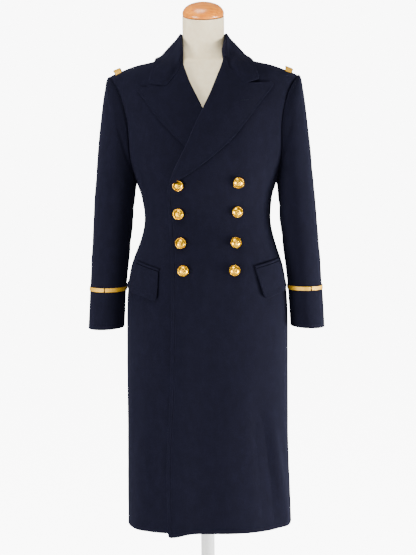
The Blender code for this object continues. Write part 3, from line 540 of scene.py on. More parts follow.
EDGE_BAND = 9.0 * MM     # from the front edge to the row that holds its turnings
BAND_FINE = FREE_EDGE + [x * MM for x in (5.0, 7.0, 7.9, 8.5, 9.0, 9.5, 10.1, 11.5, 15.0)]
BREAK_HEIGHT = 1.062     # the lapel turns back here
FRONT_CORNERS = {
    "front_over": ((-0.0907, -0.1496, 0.2601), (0.1888, 0.0, 0.270),
                   (0.0660, 0.0, 1.357), (0.2155, 0.0, 1.306)),
    "front_under": ((0.0759, -0.1485, 0.270), (-0.1844, 0.0, 0.270),
                    (-0.0660, 0.0, 1.357), (-0.2155, 0.0, 1.306)),
}
# Darts: x of the dart's line on each front, the heights of its top and its foot.
DARTS = {"front_over": (0.1400, 1.150, 0.905), "front_under": (-0.1390, 1.145, 0.900)}
DART_WIDTH = 2.2 * MM
DART_DEPTH = 0.9 * MM
# Buttons as they stand on the over front, x and height, left column then right.
BUTTON_PLACES = ((-0.0570, 1.0600), (-0.0575, 0.9935), (-0.0538, 0.9267), (-0.0490, 0.8665),
                 (0.0728, 1.0650), (0.0710, 0.9973), (0.0675, 0.9272), (0.0645, 0.8661))
PRESS_WIDTH = 13.0 * MM  # each draws the cloth in a little round itself
PRESS_DEPTH = 0.7 * MM
# Soft folds of the skirt: x and height at the top and at the foot, width, rise.
SKIRT_FOLDS = {
    "front_over": ((0.138, 0.580, 0.176, 0.310, 0.011, 0.0085),
                   (0.108, 0.640, 0.142, 0.290, 0.018, -0.0052),
                   (0.060, 0.700, 0.050, 0.280, 0.034, 0.0016),
                   (-0.010, 0.780, -0.020, 0.300, 0.030, -0.0014)),
    "front_under": ((-0.140, 0.620, -0.158, 0.290, 0.016, 0.0036),
                    (-0.112, 0.700, -0.118, 0.280, 0.020, -0.0026)),
}
# Above the break the front's own edge opens with the roll line, by mm at these heights.
NECK_HEIGHTS = (1.190, 1.235, 1.276, 1.330, 1.357)
NECK_OPENING = {"front_over": (0.0, 3.5, 6.0, 7.0, 6.0), "front_under": (0.0, 2.0, 3.8, 4.2, 2.0)}

HEAD_LAP = 4.0 * MM      # how far the armhole's edge reaches over the sleeve's head
HEAD_HEIGHTS = (1.280, 1.300)


def over_the_head(grid):
    """Carry a panel's armhole edge out over the top of the sleeve's head."""
    edge = grid[:, -1]
    reach = HEAD_LAP * fade(edge[:, 2], *HEAD_HEIGHTS)
    edge[:, 0] += np.sign(edge[:, 0]) * reach
    edge[:, 2] -= 0.2 * reach


def add_folds(relief, x, z, folds, deep, ease=0.0):
    """Add soft folds that deepen down to a share of their length and may ease again."""
    for top_x, top_z, foot_x, foot_z, width, rise in folds:
        along = (top_z - z) / (top_z - foot_z)
        middle = top_x + (foot_x - top_x) * along
        strength = fade(along, 0.0, deep) * (1 - fade(along, 0.95, 1.35) * ease)
        relief += rise * dent(x - middle, width) * strength


front_sheets = {}
for name, corners in FRONT_CORNERS.items():
    grid = panel_grid(name, corners)
    over_the_head(grid)
    for row in grid:
        inward = row[1] - row[0]
        opening = np.interp(row[0, 2], NECK_HEIGHTS, NECK_OPENING[name])
        row[0] += inward / np.linalg.norm(inward) * MM * opening
    fine = refine(grid, 7.0 * MM, 6.5 * MM, first=FREE_EDGE, start=BAND_FINE)
    sheet = Sheet(round_corners(fine, ((False, False, 9 * MM),)))
    front_sheets[name] = sheet
    x, z = sheet.points[..., 0], sheet.points[..., 2]
    below_break = 1.0 - fade(z, BREAK_HEIGHT - 0.03, BREAK_HEIGHT)
    band = (0.45 * MM * (1 - fade(sheet.from_start, 0.85 * EDGE_BAND, EDGE_BAND))
            - 0.75 * MM * dent(sheet.from_start - EDGE_BAND, 1.0 * MM))
    relief = band * below_break
    relief += unevenness(sheet.points, (0.05, 0.05, 0.16), 1.1 * MM, 3.7)
    relief += unevenness(sheet.points, 0.028, 0.35 * MM, 9.1)
    dart_x, dart_top, dart_foot = DARTS[name]
    sewn_in = fade(z, dart_foot, dart_foot + 0.08) * (1 - fade(z, dart_top - 0.03, dart_top))
    relief -= DART_DEPTH * dent(x - dart_x, DART_WIDTH) * sewn_in
    add_folds(relief, x, z, SKIRT_FOLDS[name], deep=0.55, ease=0.7)
    if name == "front_over":
        for button_x, button_z in BUTTON_PLACES:
            away = np.hypot(x - button_x, z - button_z)
            relief -= PRESS_DEPTH * dent(away, PRESS_WIDTH)
    relief *= fade(sheet.to_last, 0.0, 20 * MM) * fade(sheet.to_end, 0.0, 8 * MM)
    drop = edge_drop(sheet, first=FREE_ROUND, start=FREE_ROUND)
    melton_piece(name, sheet, relief, drop)


# ---- back -----------------------------------------------------------------
# Two backs in the same melton, sewn down the middle and to the fronts at the
# side and shoulder seams. They hang plain, with soft folds from the waist.
BACK_CORNERS = {
    "back_left": ((0.0, 0.150, 0.270), (0.1888, 0.0, 0.270),
                  (0.0, 0.060, 1.3562), (0.2155, 0.0, 1.306)),
    "back_right": ((0.0, 0.150, 0.270), (-0.1844, 0.0, 0.270),
                   (0.0, 0.060, 1.3562), (-0.2155, 0.0, 1.306)),
}
BACK_FOLDS = {
    "back_left": ((0.060, 0.820, 0.080, 0.290, 0.026, -0.0030),
                  (0.112, 0.700, 0.132, 0.280, 0.020, 0.0026),
                  (0.020, 0.640, 0.026, 0.280, 0.016, 0.0014)),
    "back_right": ((-0.050, 0.800, -0.066, 0.285, 0.022, -0.0026),
                   (-0.104, 0.740, -0.122, 0.280, 0.024, 0.0030),
                   (-0.146, 0.600, -0.152, 0.290, 0.014, -0.0016)),
}
# Short drag folds at the waist: x, height, reach to each side, rise.
WAIST_DRAGS = ((0.055, 1.000, 0.050, -0.0014), (0.085, 0.975, 0.040, 0.0012),
               (-0.048, 1.006, 0.046, -0.0012), (-0.092, 0.982, 0.044, 0.0013))
DRAG_WIDTH = 7.0 * MM
DRAG_SLANT = 0.35        # they rise towards the side seams

for name, corners in BACK_CORNERS.items():
    grid = panel_grid(name, corners)
    over_the_head(grid)
    grid[:, 0, 0] = -0.2 * MM if name == "back_left" else 0.2 * MM   # sewn edge to edge
    sheet = Sheet(refine(grid, 8.0 * MM, 7.0 * MM, first=FREE_EDGE))
    x, z = sheet.points[..., 0], sheet.points[..., 2]
    relief = unevenness(sheet.points, (0.055, 0.055, 0.17), 1.2 * MM, 17.3)
    relief += unevenness(sheet.points, 0.030, 0.35 * MM, 5.5)
    add_folds(relief, x, z, BACK_FOLDS[name], deep=0.6)
    for drag_x, drag_z, reach, rise in WAIST_DRAGS:
        above = (z - drag_z) - DRAG_SLANT * (np.abs(x) - abs(drag_x))
        relief += rise * dent(above, DRAG_WIDTH) * dent(x - drag_x, reach)
    relief *= (fade(sheet.to_last, 0.0, 20 * MM) * fade(sheet.to_end, 0.0, 8 * MM)
               * fade(sheet.from_start, 0.0, 8 * MM))
    melton_piece(name, sheet, relief, edge_drop(sheet, first=FREE_ROUND))


# ---- lapels ---------------------------------------------------------------
# Peak lapels: the fronts' own edges turned back along a soft roll, faced with
# the same melton, pressed at the edge and stitched a few millimetres in.
LAPELS = {
    "lapel_over": ("front_over", ((0.0423, -0.0527, 1.3519), (0.1526, -0.0733, 1.2852),
                                  (-0.0785, -0.1328, 1.0641), (-0.0754, -0.1319, 1.0576))),
    "lapel_under": ("front_under", ((-0.0492, -0.0639, 1.3391), (-0.1491, -0.0785, 1.2737),
                                    (0.0591, -0.1218, 1.0661), (0.0547, -0.1219, 1.0631))),
}
EDGE_STITCH = 6.5 * MM    # the line of stitches along lapels and collar
PEAK_ROUND = 22.0 * MM
LAPEL_CLOTH = 2.6 * MM
STITCH_FINE = FREE_EDGE + [x * MM for x in (3.4, 4.6, 5.6, 6.1, 6.5, 6.9, 7.4, 8.4, 10.0)]
ROLL_FINE = [x * MM for x in (0, 2.0, 4.5)]
ROLL_POINTS = 9
ROLL_INSET = 2.6 * MM
# The notch's inner end on each lapel is a little nearer the neck than the solid's.
NOTCH_SHIFTS = {"lapel_over": (-4.0, -3.7), "lapel_under": (7.0, -2.8)}
# The peaks stand out past the solid's: x and z in mm at each of the first rows.
PEAK_SHIFTS = {"lapel_over": ((13.0, 3.7), (7.0, 0.0), (3.5, 0.0)),
               "lapel_under": ((-9.2, 7.4), (-3.0, 2.0), (0.0, 0.0))}
# The top edge sags a little between notch and peak: x and z in mm.
TOP_SAG = {"lapel_over": (0.0, 0.0), "lapel_under": (0.0, -3.5)}
# The roll line opens wider: shares of the way to the second column, row by row.
ROLL_SHIFTS = {"lapel_over": (0.30, 0.38, 0.30, 0.35, 0.40, 0.33, 0.20, 0.08),
               "lapel_under": (0.00, 0.18, 0.25, 0.25, 0.18, 0.10)}
# The lapel runs on under the collar: how far, how deep, and the shares of both at
# each of its added rows.
TUCK = 11.0 * MM
TUCK_SINK = 2.2 * MM
TUCK_ROWS = ((1.0, 1.0), (0.6, 0.9), (0.3, 0.6), (0.1, 0.25))


def stitched(edge, stitch_at):
    """A pressed edge that a line of stitches holds this far in from its rim."""
    return (0.2 * MM * (1 - fade(edge, 0.8 * stitch_at, stitch_at))
            - 0.24 * MM * dent(edge - stitch_at, 0.7 * MM))


def sharpest(row):
    """The place in a row of points where it turns most."""
    ways = np.diff(row, axis=0)
    ways /= np.linalg.norm(ways, axis=1, keepdims=True)
    return 1 + int(np.argmin((ways[1:] * ways[:-1]).sum(axis=1)))


def slide(grid, row, next_row, shifts):
    """Slide a row of a grid along its own surface, by x and z in mm at some columns."""
    columns = sorted(shifts)
    inward = grid[next_row]
    away = grid[row] - inward
    along = np.gradient(inward, axis=0)
    for i in range(grid.shape[1]):
        dx, dz = (np.interp(i, columns, [shifts[c][k] * MM for c in columns]) for k in (0, 1))
        basis = np.array([[away[i, 0], along[i, 0]], [away[i, 2], along[i, 2]]])
        parts = np.linalg.solve(basis, (dx, dz))
        grid[row, i] += parts[0] * away[i] + parts[1] * along[i]


def tucked(points, normals, notch_share):
    """Run a lapel's first rows on under the collar, up to its notch."""
    along = np.linspace(0.0, 1.0, points.shape[1])[:, None]
    share = np.maximum(1 - fade(along, 0.75 * notch_share, notch_share), 0.02)
    up = points[0] - points[6]
    up /= np.linalg.norm(up, axis=1, keepdims=True)
    rows = [points[0] + share * (up * TUCK * part - normals[0] * TUCK_SINK * sink)
            for part, sink in TUCK_ROWS]
    return np.concatenate([np.array(rows), points])


def surface_of(sheet):
    """A search tree on a sheet's faces."""
    rows, cols = sheet.points.shape[:2]
    faces = [(j * cols + i, j * cols + i + 1, (j + 1) * cols + i + 1, (j + 1) * cols + i)
             for j in range(rows - 1) for i in range(cols - 1)]
    return BVHTree.FromPolygons([Vector(p) for p in sheet.points.reshape(-1, 3)], faces)


def with_roll(points, normals, depth):
    """Carry a sheet on round its first column, as a half round under itself."""
    across = points[:, 0] - points[:, 1]
    normal = normals[:, 0]
    across -= normal * (across * normal).sum(axis=1, keepdims=True)
    across /= np.linalg.norm(across, axis=1, keepdims=True)
    radius = depth[:, None] / 2
    centre = points[:, 0] - across * ROLL_INSET - normal * radius
    ring = [centre + normal * radius * math.cos(turn) + across * radius * math.sin(turn)
            for turn in np.linspace(math.pi, 0.0, ROLL_POINTS)]
    kept = np.linalg.norm(points - points[:, :1], axis=2).min(axis=0) > 1.2 * ROLL_INSET
    return np.concatenate([np.stack(ring, axis=1), points[:, kept]], axis=1)


lapel_sheets = {}
for name, (front, corners) in LAPELS.items():
    grid = panel_grid(name, corners)
    kink = sharpest(grid[0])
    last = grid.shape[1] - 1
    peak = PEAK_SHIFTS[name]
    slide(grid, 2, 4, {0: (0, 0), kink: (0, 0), last: peak[2]})
    slide(grid, 1, 3, {0: (0, 0), kink: (0, 0), last: peak[1]})
    sag = [(a + b) / 2 + c for a, b, c in zip(NOTCH_SHIFTS[name], peak[0], TOP_SAG[name])]
    slide(grid, 0, 2, {0: (0, 0), kink: NOTCH_SHIFTS[name], (kink + last) // 2: sag,
                       last: peak[0]})
    for row, share in enumerate(ROLL_SHIFTS[name]):
        grid[row, 0] += share * (grid[row, 1] - grid[row, 0])
    corner_of_notch = grid[0, kink].copy()
    fine = refine(grid, 5.0 * MM, 4.0 * MM, first=STITCH_FINE, start=ROLL_FINE,
                  end=STITCH_FINE, kink=kink)
    sheet = Sheet(round_corners(fine, ((False, True, PEAK_ROUND),)))
    surface = surface_of(front_sheets[front])
    depth = [surface.find_nearest(Vector(p))[3] + CLOTH for p in sheet.points[:, 0]]
    depth = np.minimum(depth, 0.9 * sheet.from_start[:, -1])
    notch = np.argmin(np.linalg.norm(sheet.points[0] - corner_of_notch, axis=1))
    longer = tucked(sheet.points, sheet.normals, notch / sheet.points.shape[1])
    added = len(TUCK_ROWS)
    rolled = Sheet(with_roll(longer, np.concatenate([sheet.normals[:1]] * added + [sheet.normals]),
                             np.concatenate([depth[:1]] * added + [depth])))
    lapel_sheets[name] = rolled
    relief = stitched(np.minimum(rolled.to_end, rolled.from_first), EDGE_STITCH)
    relief += unevenness(rolled.points, 0.05, 0.6 * MM, 2.2)
    relief *= fade(rolled.from_start, 10 * MM, 25 * MM)
    drop = edge_drop(rolled, first=1.2 * MM, last=1.0 * MM, start=0.6 * MM, end=1.3 * MM)
    melton_piece(name, rolled, relief, drop, LAPEL_CLOTH)


# ---- collar ---------------------------------------------------------------
# One piece of melton with its undercollar: it stands up from the neckline,
# rolls over and falls to a pressed, stitched edge with a corner at each end.
COLLAR_CORNERS = ((-0.0476, -0.0629, 1.3411), (-0.1324, -0.0805, 1.2886),
                  (0.0406, -0.0524, 1.3547), (0.1289, -0.0773, 1.3005))
STAND_CORNERS = ((-0.0556, -0.0496, 1.3452), (0.0512, -0.0416, 1.3530),
                 (-0.0482, -0.0485, 1.3534), (0.0437, -0.0398, 1.3612))
ON_LEAF = (45 * MM, 55 * MM)   # from the neckline up the stand and over the fold
STAND_FADE = (0.35, 0.65)    # height of the stand at the last two ribs of an end
# How far the two ends run on past the solid's, over the lapels: x and z in mm at
# the fold, at the notch and at the corner.
COLLAR_ENDS = {0: ((0.0, -8.6), (7.5, -10.7), (6.8, -3.3)),
               -1: ((1.0, -8.9), (-4.9, -12.1), (-1.9, -5.6))}
# The leaf is narrower over the shoulders than the solid's: rib, and the share of the
# last step that its edge is drawn in.
LEAF_DRAWN_IN = {1: 0.28, 2: 0.60, 3: 0.70, 4: 0.60, 5: 0.30,
                 21: 0.21, 20: 0.36, 19: 0.50, 18: 0.70, 17: 0.45, 16: 0.20}
# The fold stands further out at the wearer's left: rib and mm.
FOLD_OUT = {22: 3.5, 21: 5.3, 20: 5.5, 19: 3.7, 18: 1.8}
SEAM_LEVEL = 0.5 * MM    # the collar's gorge edge lies this much above the lapel

leaf = panel_grid("collar", COLLAR_CORNERS)
notch = sharpest(leaf[0])
for row, share in LEAF_DRAWN_IN.items():
    leaf[row, -1] += share * (leaf[row, -2] - leaf[row, -1])
    leaf[row, -2] += 0.5 * share * (leaf[row, -3] - leaf[row, -2])
for row, out in FOLD_OUT.items():
    leaf[row, 0, 0] += out * MM
for row, (at_fold, at_notch, at_corner) in COLLAR_ENDS.items():
    second = 1 if row == 0 else -2
    third = 2 if row == 0 else -3
    halves = [tuple(0.45 * v for v in shift) for shift in (at_fold, at_notch, at_corner)]
    slide(leaf, row, third, {0: at_fold, notch: at_notch, leaf.shape[1] - 1: at_corner})
    slide(leaf, second, third, {0: halves[0], notch: halves[1], leaf.shape[1] - 1: halves[2]})
stand = panel_grid("collar_stand", STAND_CORNERS, inward=True).transpose(1, 0, 2)
from_fold = stand - leaf[2:-2, :1]
stand_rows = stand.shape[1]
ribs = []
for number in range(len(leaf)):
    inner_number = min(max(number - 2, 0), len(from_fold) - 1)
    short_of = min(number, len(leaf) - 1 - number)
    share = STAND_FADE[short_of] if short_of < 2 else 1.0
    ribs.append(np.concatenate([leaf[number, 0] + share * from_fold[inner_number],
                                leaf[number]]))
fine = refine(np.array(ribs), 4.5 * MM, 2.2 * MM, first=STITCH_FINE, last=STITCH_FINE,
              end=STITCH_FINE, kink=stand_rows + notch, kink_rows=(30 * MM, 30 * MM))
fine = round_corners(fine, ((False, True, 7.0 * MM), (True, True, 7.0 * MM)))
sheet = Sheet(fine)
for at_end, lapel in ((False, "lapel_under"), (True, "lapel_over")):
    rows = fine[::-1] if at_end else fine
    normals = sheet.normals[::-1] if at_end else sheet.normals
    from_edge = sheet.to_last[::-1] if at_end else sheet.from_first
    below = surface_of(lapel_sheets[lapel])
    lifted = np.array([(rows[0, i] - np.array(below.find_nearest(Vector(rows[0, i]))[0]))
                       @ normals[0, i] for i in range(rows.shape[1])])
    ribs_end = ribs[-1] if at_end else ribs[0]
    fold_at, notch_at = (np.argmin(np.linalg.norm(rows[0] - ribs_end[stand_rows + k], axis=1))
                         for k in (0, notch))
    span = np.arange(rows.shape[1])
    share = fade(span, fold_at - 4, fold_at + 2) * (1 - fade(span, notch_at - 1, notch_at + 8))
    lower = (lifted - SEAM_LEVEL) * share
    rows -= normals * lower[:, None] * (1 - fade(from_edge, 1 * MM, 26 * MM))[..., None]
sheet = Sheet(fine)
ends = np.minimum(sheet.from_first, sheet.to_last)
relief = stitched(np.minimum(sheet.to_end, ends), EDGE_STITCH)
relief += unevenness(sheet.points, 0.05, 0.6 * MM, 6.4)
relief *= fade(sheet.from_start, *ON_LEAF)
drop = edge_drop(sheet, first=1.2 * MM, last=1.2 * MM, start=0.5 * MM, end=1.3 * MM)
collar = melton_piece("collar", sheet, relief, drop, LAPEL_CLOTH, ["collar_stand"])


# ---- sleeves --------------------------------------------------------------
# Two-piece sleeves of the same melton, set into the armholes with a little
# fullness at the head, with a soft bend at the elbow and a turned cuff.
SLEEVE_AXIS = {"sleeve_left": (0.222, -0.004), "sleeve_right": (-0.220, -0.004)}
SLEEVE_AROUND = 64
# The head's edge runs on into the armhole: mm towards the body and mm in from the cloth.
HEAD_TUCK = ((1.0, 0.2), (2.5, 0.6), (5.0, 1.5), (9.0, 2.6))
CUFF_STITCH = 28.0 * MM  # the hem's stitching, seen on the back half only
# Drag folds: height, bearing in degrees from the front, length round in
# degrees, half height in mm, rise in mm, tilt.
SLEEVE_FOLDS = {
    "sleeve_left": ((1.010, -75, 60, 9, -1.5, 0.10), (0.972, -60, 55, 8, 1.1, -0.06),
                    (0.935, -85, 50, 9, -1.2, -0.12), (1.150, -65, 50, 16, -1.2, 0.22),
                    (0.880, 40, 60, 14, 0.9, 0.15), (1.090, 100, 70, 18, -0.9, -0.18)),
    "sleeve_right": ((1.002, 78, 60, 9, -1.4, 0.12), (0.965, 62, 50, 8, 1.1, -0.08),
                     (0.924, 88, 55, 9, -1.2, -0.10), (1.140, 66, 50, 16, -1.2, 0.20),
                     (0.890, -45, 60, 14, 0.8, 0.13), (1.080, -100, 70, 18, -0.9, -0.16)),
}


def tube_grid(node, hub):
    """The rings of a CAD tube's outside, from its foot up, each in turning order."""
    points, near, loops = outer_sheet(node, hub)
    foot = min(loops, key=lambda loop: np.mean([points[v][2] for v in loop]))
    ring_of = layers(foot, near)
    rings = []
    for number in range(max(ring_of.values()) + 1):
        ring = np.array([points[v] for v in points if ring_of[v] == number])
        middle = ring.mean(axis=0)
        turn = np.arctan2(ring[:, 1] - middle[1], ring[:, 0] - middle[0])
        ring = ring[np.argsort(turn)]
        if rings:
            first = np.argmin(np.linalg.norm(ring[:, :2] - rings[-1][0, :2], axis=1))
            ring = np.roll(ring, -first, axis=0)
        rings.append(ring)
    if len({len(ring) for ring in rings}) != 1:
        raise ValueError(node + " isn't a whole tube")
    return np.array(rings)


def refine_tube(grid, row_step, count, first=SEAM_EDGE, last=SEAM_EDGE):
    """Spline a tube's rings to fine rings, with a given number of points round each."""
    row_knots = np.mean([arc(grid[:, i]) for i in range(grid.shape[1])], axis=0)
    steps = max(2, round((row_knots[-1] - first[-1] - last[-1]) / row_step))
    rows = spline(row_knots, grid, stations(row_knots[-1], steps, first, last))
    fine = []
    for row in rows:
        wide = np.concatenate([row[-4:], row, row[:5]])
        knots = arc(wide)
        begin, length = knots[4], knots[4 + len(row)] - knots[4]
        fine.append(spline(knots, wide, begin + length * np.arange(count) / count))
    return np.array(fine)


for name, hub in SLEEVE_AXIS.items():
    fine = refine_tube(tube_grid(name, hub), 7.0 * MM, SLEEVE_AROUND, first=FREE_EDGE)
    head = Sheet(fine, hub, around=True)
    to_body = np.array([-math.copysign(1.0, hub[0]), 0.0, 0.0])
    turned_in = [fine[-1] + to_body * ahead * MM - head.normals[-1] * sunk * MM
                 for ahead, sunk in HEAD_TUCK]
    fine = np.concatenate([fine, np.array(turned_in)])
    sheet = Sheet(fine, hub, around=True)
    middle = fine.mean(axis=1, keepdims=True)
    bearing = np.degrees(np.arctan2(fine[..., 0] - middle[..., 0],
                                    middle[..., 1] - fine[..., 1]))
    z = fine[..., 2]
    relief = unevenness(fine, (0.05, 0.05, 0.13), 1.3 * MM, 11.8)
    relief += unevenness(fine, 0.030, 0.4 * MM, 4.4)
    for height, facing, reach, half, rise, tilt in SLEEVE_FOLDS[name]:
        aside = (bearing - facing + 180.0) % 360.0 - 180.0
        lift = z - height - tilt * aside * MM
        relief += rise * MM * dent(lift, half * MM) * dent(aside, reach)
    relief *= fade(sheet.to_last, 3 * MM, 22 * MM) * fade(sheet.from_first, 0.0, 25 * MM)
    relief -= 0.6 * MM * (1 - fade(sheet.to_last, 10 * MM, 30 * MM)) * fade(z, 1.26, 1.30)
    relief -= (0.5 * MM * dent(sheet.from_first - CUFF_STITCH, 1.5 * MM)
               * fade(np.abs(bearing), 90.0, 150.0))
    drop = edge_drop(sheet, first=FREE_ROUND, last=0.5 * MM)
    melton_piece(name, sheet, relief, drop)


# ---- pocket flaps and welts -----------------------------------------------
# A flap of melton hangs from a jetted slot at each hip, stitched near its foot;
# the narrow jet shows as a ridge along its top.
FLAPS = {
    "flap_right": ((-0.1060, -0.1130, 0.8641), (-0.1604, -0.0618, 0.8802),
                   (-0.1101, -0.1208, 0.8032), (-0.1831, -0.0552, 0.8280)),
    "flap_left": ((0.1133, -0.1147, 0.8689), (0.1725, -0.0517, 0.8827),
                  (0.1328, -0.1148, 0.8060), (0.1871, -0.0575, 0.8250)),
}
WELTS = {
    "welt_right": ((-0.1056, -0.1126, 0.8650), (-0.1597, -0.0614, 0.8811),
                   (-0.1039, -0.1123, 0.8708), (-0.1580, -0.0603, 0.8870)),
    "welt_left": ((0.1129, -0.1143, 0.8699), (0.1719, -0.0512, 0.8836),
                  (0.1116, -0.1139, 0.8758), (0.1706, -0.0491, 0.8895)),
}
FLAP_STITCH = 12.0 * MM
FLAP_FINE = FREE_EDGE + [x * MM for x in (4.0, 6.0, 8.0, 10.5, 11.4, 12.0, 12.6, 13.5, 15.5)]

for name, corners in FLAPS.items():
    fine = refine(panel_grid(name, corners), 3.0 * MM, 3.5 * MM, first=FREE_EDGE,
                  last=FLAP_FINE, start=FLAP_FINE, end=FLAP_FINE)
    sheet = Sheet(round_corners(fine, ((True, False, 7 * MM), (True, True, 6 * MM))))
    edge = np.minimum.reduce([sheet.to_last, sheet.from_start, sheet.to_end])
    relief = 0.25 * MM * (1 - fade(edge, 0.8 * FLAP_STITCH, FLAP_STITCH))
    relief -= 0.45 * MM * dent(sheet.to_last - FLAP_STITCH, 0.6 * MM) * fade(
        np.minimum(sheet.from_start, sheet.to_end), 0.8 * FLAP_STITCH, FLAP_STITCH)
    relief += unevenness(sheet.points, 0.04, 0.8 * MM, 8.8)
    relief *= fade(sheet.from_first, 0.0, 8 * MM)
    drop = edge_drop(sheet, first=0.8 * MM, last=1.2 * MM, start=1.2 * MM, end=1.2 * MM)
    melton_piece(name, sheet, relief, drop, LAPEL_CLOTH)

WELT_FINE = [x * MM for x in (0, 0.15, 0.4, 0.8, 1.3)]
for name, corners in WELTS.items():
    sheet = Sheet(refine(panel_grid(name, corners), 1.0 * MM, 4.0 * MM,
                         **all_round(WELT_FINE)))
    drop = edge_drop(sheet, **all_round(1.2 * MM, 1.0 * MM))
    melton_piece(name, sheet, 0.0 * drop, drop, 2.0 * MM)


# ---- cuff lace ------------------------------------------------------------
# Flat gold lace, gilt wire woven over silk, 9 mm wide: sewn once round each
# sleeve, with its two ends a few millimetres apart at the front.
LACE_TWILL = 0.9 * MM

gold_lace, tree, shader = new_material("gilt_wire_lace")
lace_map = add_node(tree, "ShaderNodeUVMap", uv_map="lace").outputs["UV"]
slant = add_node(tree, "ShaderNodeMapping", {"Vector": lace_map,
                                             "Rotation": (0, 0, math.radians(32))})
# The lace's colour follows its twill: lighter on the wires' crests and darker between them, which
# is painted highlight and painted shade.
wires = add_node(tree, "ShaderNodeTexWave",
                 {"Vector": slant.outputs[0], "Scale": 0.314 / LACE_TWILL,
                  "Distortion": 0.6, "Detail": 1.0}, wave_profile="SIN")
# Fine noise brightens small specks of the gold: painted glints.
painted_glints = add_node(tree, "ShaderNodeTexNoise",
                  {"Vector": lace_map, "Scale": 900.0, "Detail": 2.0})
gold_mix = add_node(tree, "ShaderNodeMath",
                    {0: wires.outputs["Fac"], 1: 0.6, 2: painted_glints.outputs["Fac"]},
                    operation="MULTIPLY_ADD")
gold_range = add_node(tree, "ShaderNodeMapRange",
                      {"Value": gold_mix.outputs[0], "From Min": 0.35, "From Max": 1.15})
gold = add_node(tree, "ShaderNodeValToRGB", {"Fac": gold_range.outputs[0]})
set_ramp(gold, ((0.0, "#B87408"), (0.45, "#EEAC10"), (1.0, "#FFD03C")))
wire_bump = add_node(tree, "ShaderNodeBump", {"Height": wires.outputs["Fac"],
                                              "Strength": 0.6, "Distance": 0.15 * MM})
feed(tree, shader, {"Base Color": gold.outputs[0], "Normal": wire_bump.outputs[0],
                    "Metallic": 0.25, "Roughness": 0.42})

BRAID_RIDGES = 3
BRAID_GAP = 3.0 * MM
BRAID_GAP_AT = {"braid_left": 0.2422, "braid_right": -0.2314}   # x, on the front
LACE = 0.9 * MM           # its thickness
LACE_FINE = [x * MM for x in (0, 0.1, 0.3, 0.6)]


def strip_grid(node, hub):
    """The two rows of a CAD strip's outside, top row first and clockwise from above."""
    points, near, loops = outer_sheet(node, hub)
    loop = max(loops, key=len)
    count = len(loop) // 2
    steps = [np.linalg.norm(points[loop[i]] - points[loop[(i + 1) % len(loop)]])
             for i in range(len(loop))]
    best = min(range(len(loop)), key=lambda i: steps[i] + steps[(i + count) % len(loop)])
    turned = loop[best + 1:] + loop[:best + 1]
    one = np.array([points[v] for v in turned[:count]])
    other = np.array([points[v] for v in turned[count:]])[::-1]
    strip = np.array([one, other] if one[:, 2].mean() > other[:, 2].mean() else [other, one])
    x, y = (strip[0] - strip[0].mean(axis=0))[:, :2].T
    turning = (x[:-1] * y[1:] - x[1:] * y[:-1]).sum()
    return strip if turning < 0 else strip[:, ::-1]


def recut(strip, gap_x):
    """Close a strip that runs all round and open it again at another place in front."""
    twice = np.concatenate([strip, strip, strip[:, :1]], axis=1)
    middle = twice.mean(axis=0)
    knots = arc(middle)
    length = knots[strip.shape[1]]
    places = np.linspace(0, length, 400)
    x, y, z = spline(knots, middle, places).T
    in_front = np.where(y < y.mean(), np.abs(x - gap_x), np.inf)
    begin = places[np.argmin(in_front)] + BRAID_GAP / 2
    at = np.linspace(begin, begin + length - BRAID_GAP, 49)
    at = at[at < knots[-1]]
    return np.array([spline(knots, row, at) for row in twice])


def lace_on(sheet, node, depth, ridges):
    """The lace of a CAD strip, ridged along its length, with a UV map in metres."""
    width = sheet.from_first[-1:]
    relief = depth * np.cos(2 * math.pi * ridges * sheet.from_first / width)
    drop = edge_drop(sheet, **all_round(0.4 * MM, 0.3 * MM))
    made = shell(node + "_lace", sheet, relief, drop, gold_lace, LACE)
    dress(made, "gold_lace", node)
    layer = made.data.uv_layers.new(name="lace")
    along = sheet.from_start.reshape(-1)
    down = sheet.from_first.reshape(-1)
    for loop in made.data.loops:
        k = loop.vertex_index % len(along)
        layer.data[loop.index].uv = (along[k], down[k])
    return made


for name, gap_x in BRAID_GAP_AT.items():
    hub = SLEEVE_AXIS[name.replace("braid", "sleeve")]
    strip = recut(strip_grid(name, hub), gap_x)
    sheet = Sheet(refine(strip, 0.35 * MM, 2.5 * MM, **all_round(LACE_FINE)), hub)
    lace_on(sheet, name, 0.14 * MM, BRAID_RIDGES)


# ---- shoulder loops -------------------------------------------------------
# A loop of the same lace over a strip of melton crosses each shoulder near the
# sleeve, where a shoulder board is buttoned on.
LOOPS = {"shoulder_loop_left": 1, "shoulder_loop_right": -1}
LOOP_LACE_INSET = 1.0 * MM
LOOP_RIDGES = 6
# The loops stand off the cloth and reach down in front: mm in x and z at the front
# end's inner and outer corner, and at the top.
LOOP_SHIFTS = {"shoulder_loop_left": ((-3.0, -0.5), (-4.5, 2.0), (-2.0, 4.5)),
               "shoulder_loop_right": ((2.3, -4.0), (5.8, -3.3), (-2.0, 3.0))}

